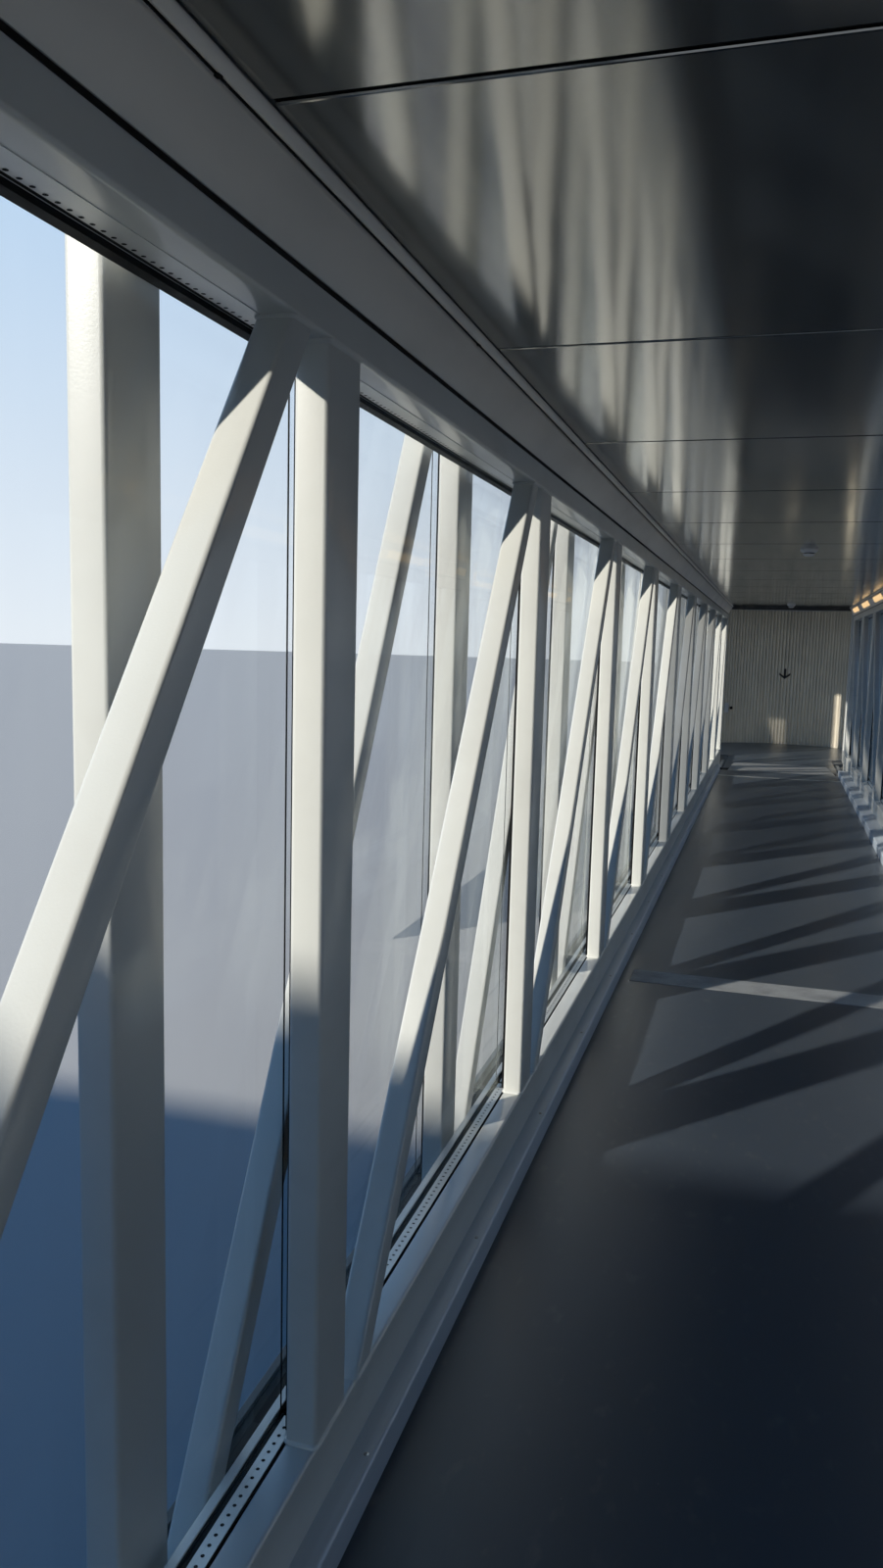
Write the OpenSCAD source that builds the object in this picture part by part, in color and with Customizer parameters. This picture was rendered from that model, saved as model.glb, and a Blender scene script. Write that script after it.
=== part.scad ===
// Passenger jet bridge: a glazed truss tunnel that telescopes in a larger one, which ends in a round
// drum with a slat curtain. Y runs along the tunnels, X across them, and Z up.
// The pieces are drawn from the inner tunnel's near end and its floor, then set down on the ground.

/* [Bays] */
// Spacing of the posts along both tunnels
bay = 1660; // [1500:10:1800]
// Whole bays of the inner tunnel
inner_bays = 11; // [9:1:12]
// Whole bays of the outer tunnel
outer_bays = 12; // [11:1:13]
// From a tunnel's end to its first post
end_gap = 145; // [120:5:200]
// From a tunnel's last post to its end
tail_gap = 55; // [40:5:100]
// From the inner tunnel's near end to the outer tunnel's near end
outer_start = 1275; // [1250:5:1400]

/* [Truss members] */
// Width of a post, along the tunnel
post_w = 140; // [110:5:170]
// Width of a diagonal, square to its length
diagonal_w = 62; // [50:1:90]
// Depth of every truss member, across the wall
truss_d = 60; // [50:1:70]
// Corner radius of the hollow sections
corner_r = 8; // [4:1:16]
// Clearance from a diagonal's end to the nearest post
diagonal_gap = 60; // [15:1:90]
// Height of the bottom chords
bottom_chord_h = 264; // [250:1:290]
// Height of the top chords
top_chord_h = 200; // [185:1:240]

/* [Inner tunnel] */
// Clear width between the inner trusses
inner_w = 1720; // [1640:10:1760]
// Top of the bottom chords over the tunnel floor
chord_top = 204; // [190:1:220]
// Height of the inner posts
inner_post_h = 1900; // [1850:10:1960]
// Inner ceiling over the top chords' underside
ceiling_rise = 184; // [166:1:196]
// Thickness of a ceiling panel
ceiling_t = 16; // [8:1:20]
// Spacing of the ceiling panels
panel_pitch = 1156; // [900:4:1400]
// Length of the first ceiling panel
first_panel = 781; // [400:1:1100]
// Joint between two ceiling panels
panel_joint = 12; // [6:1:20]
// Height of the cove's lower edge under the ceiling
cove_drop = 114; // [90:1:130]
// How far the cove leans in
cove_in = 65; // [50:1:90]
// Thickness of the cove lining
cove_t = 14; // [6:1:20]
// Rise of the roofs at their middle
roof_rise = 30; // [15:1:40]
// Thickness of the roofs at their edges
roof_t = 30; // [20:1:40]
// Height of a standing seam on the roofs
seam_h = 20; // [10:1:30]
// Width of a standing seam
seam_w = 14; // [8:1:30]
// Height of the roofs' turned down lips
lip_h = 90; // [60:5:120]
// Length of a cove lamp
lamp_l = 900; // [600:10:1200]
// Width of a cove lamp
lamp_w = 60; // [40:2:70]
// Thickness of a cove lamp
lamp_t = 10; // [6:1:12]
// Radius of a smoke detector
detector_r = 55; // [40:1:60]
// Height of a smoke detector
detector_h = 45; // [30:1:60]
// Place of the first smoke detector
detector_y = 9250; // [8000:50:9500]
// Spacing of the smoke detectors
detector_pitch = 8450; // [8000:50:8600]

/* [Floors] */
// Thickness of the rubber floor sheet
sheet_t = 3; // [2:1:6]
// Thickness of the floor plates
deck_t = 20; // [12:1:26]
// Depth of the cross beams under the floor plates
beam_h = 37; // [30:1:45]
// Width of a cross beam
beam_w = 60; // [40:2:100]
// Width of the left kerb's shelf
kerb_left_w = 50; // [30:1:80]
// Width of the right kerb's shelf
kerb_right_w = 120; // [80:1:140]
// Height of the kerbs
kerb_h = 72; // [50:1:90]
// Thickness of the kerb plates
kerb_t = 4; // [2:1:8]
// How far the full floor stops short of the inner tunnel's far end
floor_short = 1100; // [900:10:1300]
// Width of the floor flap
flap_w = 1414; // [1300:2:1440]
// Length of the floor flap
flap_len = 2700; // [2300:10:2900]
// Thickness of the floor flap
flap_t = 8; // [5:1:12]
// Radius of the flap's hinge pin
pin_r = 6; // [4:0.5:8]
// Running clearance of pins and rollers
run_gap = 0.3; // [0.1:0.1:0.5]
// Clearance beside the flap, and between it and what lies under it
flap_gap = 5; // [5:0.5:8]

/* [Glazing] */
// Thickness of a double glazed unit
glass_t = 28; // [20:1:32]
// Thickness of the gasket strip between truss and glass
gasket_t = 12; // [8:1:16]
// Thickness of the outer cap strips
cap_t = 8; // [5:1:12]
// Width of an outer cap strip
cap_w = 60; // [40:2:90]
// Overlap of the glass on the chords
glass_lap = 60; // [40:2:90]
// Joint between two glass units
glass_joint = 14; // [8:1:24]

/* [Outer tunnel] */
// Gap between the inner and the outer trusses
truss_gap = 90; // [84:1:130]
// Drop from the inner floor to the outer floor
floor_drop = 160; // [158:1:175]
// Clearance over the inner roof
roof_gap = 80; // [70:5:110]
// Clearance between the inner tunnel and the outer tunnel's near end
hood_gap = 20; // [10:1:30]
// Thickness of the outer ceiling lining
lining_t = 12; // [8:1:16]
// Thickness of the end flanges
flange_t = 20; // [12:1:30]
// How far the inner tunnel's near flange stands out past its walls and roof
flange_margin = 55; // [45:1:70]
// Height of the inner tunnel's far frame over its opening
far_header_h = 45; // [35:1:60]
// Height of the guide rails
rail_h = 15; // [12:1:16]
// Width of the guide rails
rail_w = 40; // [34:1:44]
// From the outer tunnel's ends to its guide rails
rail_inset = 1000; // [850:10:1500]

/* [Rollers] */
// Radius of the tunnel rollers
roller_r = 40; // [36:1:42]
// Width of the tunnel rollers
roller_w = 30; // [24:1:34]
// Thickness of a roller's cheek plates
cheek_t = 8; // [5:1:10]
// Length of a roller's cheek plates along the tunnel
cheek_l = 60; // [50:2:76]
// Radius of a roller's axle
axle_r = 10; // [8:0.5:12]
// From a tunnel's end to its first roller
roller_from = 300; // [200:10:500]
// Spacing of two rollers
roller_pitch = 240; // [160:10:400]

/* [Drum] */
// Radius of the drum
drum_r = 1700; // [1650:5:1750]
// From the drum's edge to the slat curtain
curtain_in = 60; // [60:1:90]
// Width of one slat
slat_w = 63; // [50:1:80]
// Depth of the slats' wave
slat_d = 12; // [6:1:16]
// Thickness of the slats
slat_t = 3; // [2:0.5:5]
// Direction in which the curtain starts
curtain_start_angle = -20; // [-25:1:-15]
// Direction in which the curtain ends
curtain_end_angle = 140; // [120:1:145]
// How far the drum's roof stands out past its ring
eave = 30; // [20:1:50]
// Height of the drum's top ring
ring_h = 100; // [80:5:140]
// Width of the drum's top ring
ring_w = 100; // [80:5:140]
// Depth of a drum post
drum_post_d = 40; // [30:1:50]
// Width of a drum post
drum_post_w = 60; // [50:1:80]
// From the drum's edge to a drum post
drum_post_in = 2; // [1:1:6]
// Gap between the drum and the tunnel
swivel_gap = 15; // [10:1:30]
// Width of the tongue that carries the drum
tongue_w = 800; // [700:10:1000]
// Thickness of the tongue
tongue_t = 20; // [15:1:25]
// Radius of the drum's king pin
king_r = 60; // [50:1:80]

/* [Mounting holes] */
// Radius of the near end's bolt holes
end_hole_r = 9; // [6:0.5:12]
// Height of the lowest bolt holes of the near end
end_hole_z = 200; // [150:10:300]
// Spacing of the near end's bolt holes
end_hole_pitch = 650; // [600:10:680]
// Radius of the lift brackets' bolt holes
lift_hole_r = 13; // [9:0.5:16]
// Length of a lift bracket along the tunnel
lift_len = 560; // [460:10:700]
// Reach of a lift bracket from the truss
lift_reach = 300; // [260:5:360]
// Place of the lift brackets from the inner tunnel's near end
lift_y = 17500; // [16000:50:18500]
// Thickness of a lift bracket's plate
lift_plate_t = 25; // [20:1:35]
// Thickness of a lift bracket's gussets
gusset_t = 16; // [10:1:25]
// From a lift bracket's edges to its outer bolt holes
lift_edge = 80; // [60:5:100]
// Spacing of the lift bracket's bolt holes across the tunnel
lift_hole_pitch = 140; // [120:5:160]

/* [Hidden] */

// Lengths and ends of the two tunnels
inner_len = end_gap + inner_bays * bay + post_w + tail_gap;
outer_len = end_gap + outer_bays * bay + post_w + tail_gap;
outer_end = outer_start + outer_len;
deck_end = inner_len - floor_short;

// Levels over the inner floor
inner_chord_z = chord_top - bottom_chord_h;
inner_head_z = chord_top + inner_post_h;
inner_roof_z = inner_head_z + top_chord_h;
ceiling_z = inner_head_z + ceiling_rise;
outer_floor_z = -floor_drop;
outer_chord_top = chord_top - floor_drop;
outer_chord_z = outer_chord_top - bottom_chord_h;
outer_head_z = inner_roof_z + roof_t + roof_rise + roof_gap;
outer_post_h = outer_head_z - outer_chord_top;
outer_roof_z = outer_head_z + top_chord_h;
ground_z = outer_chord_z;
rail_z = outer_floor_z - sheet_t + rail_h;
rail_gap = 8;

// Distances from the middle plane
inner_x = inner_w / 2;
inner_glass_x = inner_x + truss_d + gasket_t;
inner_skin_x = inner_glass_x + glass_t + cap_t;
outer_x = inner_x + truss_d + truss_gap;
outer_glass_x = outer_x + truss_d + gasket_t;
outer_skin_x = outer_glass_x + glass_t + cap_t;
roof_lip = 13;

// The curtain, and the drum's clear circle, which passes the inner corners of the outer tunnel's end
curtain_r = drum_r - curtain_in;
curtain_span = curtain_end_angle - curtain_start_angle;
clear_r = drum_r + eave + swivel_gap;
drum_y = outer_end + sqrt(clear_r * clear_r - outer_x * outer_x);
part_len = drum_y + drum_r + eave;
part_top = outer_roof_z + roof_t + roof_rise + seam_h;

// The flap's hinge, and the flap's tip on the outer floor
hinge_r = 2 * pin_r;
lug_t = 14;
lug_gap = 3;
hinge_y = deck_end + hinge_r + 10;
hinge_z = -hinge_r - sheet_t / 2;
tip_y = hinge_y + flap_len;
tip_z = outer_floor_z + flap_gap;
tip_t = 3;
flap_top = -sheet_t / 2;
flap_slope = (flap_top - tip_z - tip_t) / flap_len;

// The drum stands on a tongue of the outer tunnel and turns on its king pin
king_h = outer_floor_z - sheet_t - ground_z;
tongue_lap = 160;
tongue_beam = 100;

// Which side a piece is on
LEFT = 1;
RIGHT = 0;

// Paint and metal
paint = [0.74, 0.74, 0.70];
dark_metal = [0.20, 0.21, 0.22];
sheet_metal = [0.62, 0.64, 0.65];
rubber = [0.13, 0.13, 0.14];
glass = [0.72, 0.84, 0.82, 0.4];

function arc_corner(cx, cy, r, from) =
    [for (i = [0 : 3]) [cx + r * cos(from + i * 30), cy + r * sin(from + i * 30)]];

// Outline of a rounded hollow section, centred
function section(w, d, r) = concat(
    arc_corner(w / 2 - r, d / 2 - r, r, 0), arc_corner(r - w / 2, d / 2 - r, r, 90),
    arc_corner(r - w / 2, r - d / 2, r, 180), arc_corner(w / 2 - r, r - d / 2, r, 270));

// Draws a piece of the right wall on the left
module on_side(side) {
    mirror([side, 0, 0]) children();
}

// Extrudes an outline of X and Z along the tunnel
module run_y(from, to) {
    translate([0, to, 0]) rotate([90, 0, 0]) linear_extrude(to - from) children();
}

// Extrudes an outline of Y and Z across the tunnel
module run_x(from, to) {
    translate([from, 0, 0]) rotate([90, 0, 90]) linear_extrude(to - from) children();
}

module rect(x0, y0, x1, y1) {
    translate([x0, y0]) square([x1 - x0, y1 - y0]);
}

module chord(x, from, to, z, h) {
    translate([x + truss_d / 2, 0, z + h / 2])
        run_y(from, to) polygon(section(truss_d, h, corner_r));
}

function post_y(start, i) = start + end_gap + i * bay;

module posts(x, start, bays, z, h) {
    for (i = [0 : bays])
        translate([x + truss_d / 2, post_y(start, i) + post_w / 2, z])
            linear_extrude(h) polygon(section(truss_d, post_w, corner_r));
}

// The diagonals fill the clear height between the chords, cut level at both ends
module diagonals(x, start, bays, z, h) {
    free = bay - post_w - 2 * diagonal_gap;
    k = diagonal_w * diagonal_w / (h * h);
    run = (free - sqrt(free * free - (1 - k) * (free * free - diagonal_w * diagonal_w))) / (1 - k);
    lean = atan(run / h);
    for (i = [0 : bays - 1])
        translate([x + truss_d / 2, post_y(start, i) + post_w / 2 + bay / 2, z])
            intersection() {
                translate([0, 0, h / 2]) rotate([-lean, 0, 0])
                    linear_extrude(2 * h, center = true)
                        polygon(section(truss_d, diagonal_w, corner_r));
                translate([-truss_d, -bay, 0]) cube([2 * truss_d, 2 * bay, h]);
            }
}

// Double glazed units, one to a bay, with a joint behind each post
module glass_units(x, start, bays, z, h, to) {
    for (i = [0 : bays - 1]) {
        low = i == 0 ? start + flange_t : post_y(start, i) + post_w / 2 + glass_joint / 2;
        high = i == bays - 1 ? to : post_y(start, i + 1) + post_w / 2 - glass_joint / 2;
        translate([x, low, z - glass_lap]) cube([glass_t, high - low, h + 2 * glass_lap]);
    }
}

// One strip frame with a window in each bay
module strip_frame(start, bays, z, h, to, strip) {
    difference() {
        rect(start + flange_t, z - glass_lap, to, z + h + glass_lap);
        for (i = [0 : bays - 1]) {
            low = i == 0 ? start + flange_t + strip : post_y(start, i) + (post_w + strip) / 2;
            high = i == bays - 1 ? to - strip : post_y(start, i + 1) + (post_w - strip) / 2;
            rect(low, z - glass_lap + strip, high, z + h + glass_lap - strip);
        }
    }
}

// Gasket strips inside the glass and cap strips outside it
module glass_caps(x, start, bays, z, h, to) {
    run_x(x - gasket_t, x) strip_frame(start, bays, z, h, to, cap_w);
    run_x(x + glass_t, x + glass_t + cap_t) strip_frame(start, bays, z, h, to, cap_w);
}

module inner_chord_low(side) {
    color(paint) on_side(side)
        chord(inner_x, flange_t, inner_len - tail_gap, inner_chord_z, bottom_chord_h);
}

module inner_chord_high(side) {
    color(paint) on_side(side)
        chord(inner_x, flange_t, inner_len - tail_gap, inner_head_z, top_chord_h);
}

module inner_posts(side) {
    color(paint) on_side(side) posts(inner_x, 0, inner_bays, chord_top, inner_post_h);
}

module inner_diagonals(side) {
    color(paint) on_side(side) diagonals(inner_x, 0, inner_bays, chord_top, inner_post_h);
}

module inner_glass(side) {
    color(glass) on_side(side)
        glass_units(inner_glass_x, 0, inner_bays, chord_top, inner_post_h, inner_len - tail_gap);
}

module inner_caps(side) {
    color(dark_metal) on_side(side)
        glass_caps(inner_glass_x, 0, inner_bays, chord_top, inner_post_h, inner_len - tail_gap);
}

// A floor plate with a cross beam under each post
module floor_plate(half_w, from, to, start, bays, top) {
    run_x(-half_w, half_w) {
        rect(from, top - sheet_t - deck_t, to, top - sheet_t);
        for (i = [0 : bays]) {
            y = post_y(start, i) + post_w / 2;
            if (y + beam_w / 2 < to)
                rect(y - beam_w / 2, top - sheet_t - deck_t - beam_h,
                     y + beam_w / 2, top - sheet_t - deck_t);
        }
    }
}

module inner_floor_deck() {
    color(dark_metal) floor_plate(inner_x, flange_t, deck_end, 0, inner_bays, 0);
}

module inner_floor_sheet() {
    color(rubber) translate([kerb_left_w - inner_x, flange_t, -sheet_t])
        cube([inner_w - kerb_left_w - kerb_right_w, deck_end - flange_t, sheet_t]);
}

module kerb(width, side) {
    color(sheet_metal) on_side(side) run_y(flange_t, deck_end) {
        rect(inner_x - width, -sheet_t, inner_x - width + kerb_t, kerb_h);
        rect(inner_x - width, kerb_h - kerb_t, inner_x, kerb_h);
    }
}

module cove(side) {
    color(sheet_metal) on_side(side) run_y(flange_t, inner_len - tail_gap)
        polygon([[inner_x, ceiling_z - cove_drop], [inner_x - cove_in, ceiling_z],
                 [inner_x - cove_in, ceiling_z + ceiling_t],
                 [inner_x, ceiling_z - cove_drop + cove_t + ceiling_t]]);
}

// A lamp lens in the middle of each bay, flat on the right cove
module cove_lamps() {
    slope = atan(cove_in / cove_drop);
    color([1, 0.86, 0.6]) for (i = [0 : inner_bays - 1])
        translate([inner_x - cove_in / 2, post_y(0, i) + (bay + post_w) / 2, ceiling_z - cove_drop / 2])
            rotate([0, -slope, 0]) translate([-lamp_t, -lamp_l / 2, -lamp_w / 2])
                cube([lamp_t, lamp_l, lamp_w]);
}

module ceiling_panels() {
    half_w = inner_x - cove_in;
    end = inner_len - tail_gap;
    second = flange_t + first_panel;
    count = ceil((end - second) / panel_pitch);
    color(dark_metal) for (i = [0 : count]) {
        from = i == 0 ? flange_t : second + (i - 1) * panel_pitch + panel_joint;
        to = min(end, second + i * panel_pitch);
        translate([-half_w, from, ceiling_z]) cube([2 * half_w, to - from, ceiling_t]);
    }
}

// A cambered roof with a turned down lip at both edges and a standing seam over each post
module roof_sheet(half_w, z, from, to, start, bays) {
    edge = half_w + roof_lip;
    run_y(from, to)
        polygon([[-half_w, z], [-half_w, z - lip_h], [-edge, z - lip_h],
                 [-edge, z + roof_t], [0, z + roof_t + roof_rise],
                 [edge, z + roof_t], [edge, z - lip_h], [half_w, z - lip_h], [half_w, z]]);
    for (i = [0 : bays])
        translate([0, post_y(start, i) + (post_w - seam_w) / 2, z])
            run_y(0, seam_w)
                polygon([[-edge, roof_t / 2], [-edge, roof_t + seam_h],
                         [0, roof_t + roof_rise + seam_h], [edge, roof_t + seam_h],
                         [edge, roof_t / 2]]);
}

module inner_roof() {
    color(paint)
        roof_sheet(inner_skin_x, inner_roof_z, flange_t, inner_len - tail_gap, 0, inner_bays);
}

module inner_near_portal() {
    flange_x = inner_skin_x + roof_lip + flange_margin;
    hole_x = flange_x - flange_margin / 2;
    top = inner_roof_z + roof_t + roof_rise + flange_margin;
    bottom = inner_chord_z - flange_margin;
    color(paint) difference() {
        run_y(0, flange_t) difference() {
            rect(-flange_x, bottom, flange_x, top);
            rect(cove_in - inner_x, 0, inner_x - cove_in, ceiling_z);
        }
        for (x = [-hole_x, hole_x], i = [0 : 3])
            translate([x, -1, end_hole_z + i * end_hole_pitch]) rotate([-90, 0, 0])
                cylinder(h = flange_t + 2, r = end_hole_r);
    }
}

module inner_far_portal() {
    sill_top = flap_top - flap_t - (inner_len - hinge_y) * flap_slope - 2 * flap_gap;
    color(dark_metal) run_y(inner_len - tail_gap, inner_len) difference() {
        rect(-inner_skin_x, rail_z + rail_gap, inner_skin_x, inner_roof_z + roof_t);
        rect(-inner_x, sill_top, inner_x, ceiling_z - far_header_h);
    }
}

// A round base under the ceiling, and a slotted head with a cone below it
module smoke_detectors() {
    base_h = detector_h / 3;
    neck_r = 0.6 * detector_r;
    color([0.92, 0.92, 0.9]) for (i = [0, 1])
        translate([0, detector_y + i * detector_pitch, ceiling_z - detector_h])
            rotate_extrude($fn = 48) polygon([
                [0, 0], [neck_r - 10, 0], [neck_r, 5], [neck_r, 12], [neck_r - 4, 12],
                [neck_r - 4, 17], [neck_r + 8, 20], [detector_r - 5, detector_h - base_h],
                [detector_r, detector_h - base_h + 4], [detector_r, detector_h], [0, detector_h]]);
}

// A roller between two cheek plates; plate_z is the face that carries the cheeks
module roller_unit(axle_z, plate_z) {
    lap = axle_r + 6;
    cheek_x = roller_w / 2 + 3;
    low = min(axle_z - lap, plate_z);
    high = max(axle_z + lap, plate_z);
    for (s = [0, 1]) mirror([s, 0, 0])
        translate([cheek_x, -cheek_l / 2, low]) cube([cheek_t, cheek_l, high - low]);
    translate([0, 0, axle_z]) rotate([0, 90, 0]) {
        cylinder(h = roller_w, r = roller_r, center = true);
        cylinder(h = 2 * (cheek_x + cheek_t), r = axle_r, center = true);
    }
}

module roller_pairs(first, axle_z, plate_z) {
    color(dark_metal) for (side = [LEFT, RIGHT], i = [0, 1])
        on_side(side) translate([inner_x + truss_d / 2, first + i * roller_pitch, 0])
            roller_unit(axle_z, plate_z);
}

module inner_rollers() {
    roller_pairs(inner_len - tail_gap - roller_from - roller_pitch, rail_z + run_gap + roller_r,
                 inner_chord_z);
}

module outer_rollers() {
    roller_pairs(outer_start + roller_from, inner_chord_z - run_gap - roller_r,
                 outer_floor_z - sheet_t);
}

// The flap hangs on a pin at the end of the inner floor and lies down to the outer floor
module flap_hinge() {
    color(dark_metal) {
        for (side = [LEFT, RIGHT]) on_side(side)
            run_x(flap_w / 2 + lug_gap, flap_w / 2 + lug_gap + lug_t) {
                rect(deck_end, -2 * hinge_r, hinge_y, -sheet_t);
                translate([hinge_y, hinge_z]) circle(r = hinge_r - sheet_t / 2);
            }
        translate([0, hinge_y, hinge_z]) rotate([0, 90, 0])
            cylinder(h = flap_w + 2 * (lug_gap + lug_t), r = pin_r, center = true);
    }
}

module floor_flap() {
    bevel = 60;
    color(dark_metal) difference() {
        union() {
            run_x(-flap_w / 2, flap_w / 2)
                polygon([[hinge_y, flap_top - flap_t], [hinge_y, flap_top],
                         [tip_y, tip_z + tip_t], [tip_y, tip_z], [tip_y - bevel, tip_z]]);
            translate([0, hinge_y, hinge_z]) rotate([0, 90, 0])
                cylinder(h = flap_w, r = hinge_r, center = true);
        }
        translate([0, hinge_y, hinge_z]) rotate([0, 90, 0])
            cylinder(h = flap_w + 2, r = pin_r + run_gap, center = true);
    }
}

// Takes the drum's clear circle out of what reaches into it
module clear_of_drum() {
    difference() {
        children();
        translate([0, drum_y, ground_z - 10])
            cylinder(h = part_top - ground_z + 20, r = clear_r, $fn = 360);
    }
}

module outer_chord_low(side) {
    color(paint) on_side(side)
        chord(outer_x, outer_start + flange_t, outer_end - tail_gap, outer_chord_z, bottom_chord_h);
}

module outer_chord_high(side) {
    color(paint) on_side(side)
        chord(outer_x, outer_start + flange_t, outer_end - tail_gap, outer_head_z, top_chord_h);
}

module outer_posts(side) {
    color(paint) on_side(side)
        posts(outer_x, outer_start, outer_bays, outer_chord_top, outer_post_h);
}

module outer_diagonals(side) {
    color(paint) on_side(side)
        diagonals(outer_x, outer_start, outer_bays, outer_chord_top, outer_post_h);
}

module outer_glass(side) {
    color(glass) on_side(side)
        glass_units(outer_glass_x, outer_start, outer_bays, outer_chord_top, outer_post_h,
                    outer_end - tail_gap);
}

module outer_caps(side) {
    color(dark_metal) on_side(side)
        glass_caps(outer_glass_x, outer_start, outer_bays, outer_chord_top, outer_post_h,
                   outer_end - tail_gap);
}

module outer_floor_deck() {
    color(dark_metal) clear_of_drum()
        floor_plate(outer_x, outer_start + flange_t, outer_end - tail_gap, outer_start,
                    outer_bays, outer_floor_z);
}

module outer_floor_sheet() {
    half_w = inner_x - flange_t;
    color(rubber) clear_of_drum()
        translate([-half_w, outer_start + flange_t, outer_floor_z - sheet_t])
            cube([2 * half_w, outer_len - flange_t - tail_gap, sheet_t]);
}

module guide_rails() {
    color(sheet_metal) for (side = [LEFT, RIGHT]) on_side(side)
        translate([inner_x + (truss_d - rail_w) / 2, outer_start + rail_inset, outer_floor_z - sheet_t])
            cube([rail_w, outer_len - 2 * rail_inset, rail_h]);
}

module outer_ceiling() {
    color(dark_metal) clear_of_drum()
        translate([-outer_x, outer_start + flange_t, outer_head_z])
            cube([2 * outer_x, outer_len - flange_t - tail_gap, lining_t]);
}

module outer_roof() {
    color(paint) clear_of_drum()
        roof_sheet(outer_skin_x, outer_roof_z, outer_start + flange_t, outer_end - tail_gap,
                   outer_start, outer_bays);
}

module outer_near_portal() {
    inside_x = inner_skin_x + roof_lip + hood_gap;
    inside_top = inner_roof_z + roof_t + roof_rise + seam_h + hood_gap;
    color(paint) run_y(outer_start, outer_start + flange_t) difference() {
        rect(-outer_skin_x, ground_z, outer_skin_x, outer_roof_z + roof_t);
        rect(-inside_x, outer_floor_z - sheet_t, inside_x, inside_top);
    }
}

module outer_far_portal() {
    color(paint) run_y(outer_end - tail_gap, outer_end) for (side = [LEFT, RIGHT]) on_side(side)
        rect(outer_x, ground_z, outer_skin_x, outer_roof_z + roof_t);
}

// Outriggers on both sides of the outer tunnel, where the lift columns bolt on
module lift_brackets() {
    hole_x = lift_reach - lift_edge;
    hole_y = lift_len / 2 - lift_edge;
    gusset_h = bottom_chord_h - 70;
    color(paint) for (side = [LEFT, RIGHT]) on_side(side)
        translate([outer_x + truss_d, lift_y, ground_z]) {
            difference() {
                translate([0, -lift_len / 2, 0]) cube([lift_reach, lift_len, lift_plate_t]);
                for (x = [hole_x - lift_hole_pitch, hole_x], y = [-hole_y, hole_y])
                    translate([x, y, -1]) cylinder(h = lift_plate_t + 2, r = lift_hole_r);
            }
            for (y = [-lift_len / 2, lift_len / 2 - gusset_t])
                translate([0, y + gusset_t, 0]) rotate([90, 0, 0]) linear_extrude(gusset_t)
                    polygon([[0, 0], [lift_reach, 0], [lift_reach, lift_plate_t + 20],
                             [truss_d, gusset_h], [0, gusset_h]]);
        }
}

// A cross beam under the outer floor's end, with a plate and the king pin on which the drum turns
module swivel_tongue() {
    from = drum_y - clear_r - tongue_lap;
    color(dark_metal) translate([0, 0, ground_z]) {
        translate([-outer_x, from, 0])
            cube([2 * outer_x, tongue_beam, king_h - deck_t]);
        linear_extrude(tongue_t) {
            rect(-tongue_w / 2, from, tongue_w / 2, drum_y);
            translate([0, drum_y]) circle(r = tongue_w / 2, $fn = 64);
        }
        translate([0, drum_y, 0]) cylinder(h = king_h, r = king_r, $fn = 64);
    }
}

module drum_floor() {
    bottom = ground_z + tongue_t + run_gap;
    color(rubber) translate([0, drum_y, bottom]) difference() {
        cylinder(h = outer_floor_z - bottom, r = drum_r, $fn = 96);
        translate([0, 0, -1]) cylinder(h = king_h - tongue_t + 1, r = king_r + run_gap, $fn = 64);
    }
}

module drum_roof() {
    edge_t = 20;
    rise = 80;
    color(paint) translate([0, drum_y, outer_head_z])
        rotate_extrude($fn = 96) polygon([
            [drum_r - ring_w, 0], [drum_r, 0], [drum_r, ring_h], [drum_r + eave, ring_h],
            [drum_r + eave, ring_h + edge_t], [0, ring_h + edge_t + rise], [0, ring_h],
            [drum_r - ring_w, ring_h]]);
}

// Posts round the curtain, one at each edge of it, and one at the doorway's far side
module drum_posts() {
    third = curtain_span / 3;
    edge_turn = 3;
    doorway = 60;
    color(paint) translate([0, drum_y, outer_floor_z])
        for (a = [-edge_turn, third, 2 * third, curtain_span + edge_turn, curtain_span + doorway])
            rotate([0, 0, curtain_start_angle + a])
                translate([drum_r - drum_post_d - drum_post_in, -drum_post_w / 2, 0])
                    cube([drum_post_d, drum_post_w, outer_head_z - outer_floor_z]);
}

function slat_arc(r) = [
    for (i = [0 : 4 * slats]) let (
        a = curtain_start_angle + i * curtain_span / (4 * slats),
        s = r + (i % 4 < 2 ? slat_d : 0))
    [s * cos(a), s * sin(a)]];
function backwards(points) = [for (i = [len(points) - 1 : -1 : 0]) points[i]];
slats = round(curtain_r * curtain_span * PI / 180 / slat_w);

module slat_curtain() {
    color(sheet_metal) translate([0, drum_y, outer_floor_z])
        linear_extrude(outer_head_z - outer_floor_z)
            polygon(concat(slat_arc(curtain_r - slat_t), backwards(slat_arc(curtain_r))));
}

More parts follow.
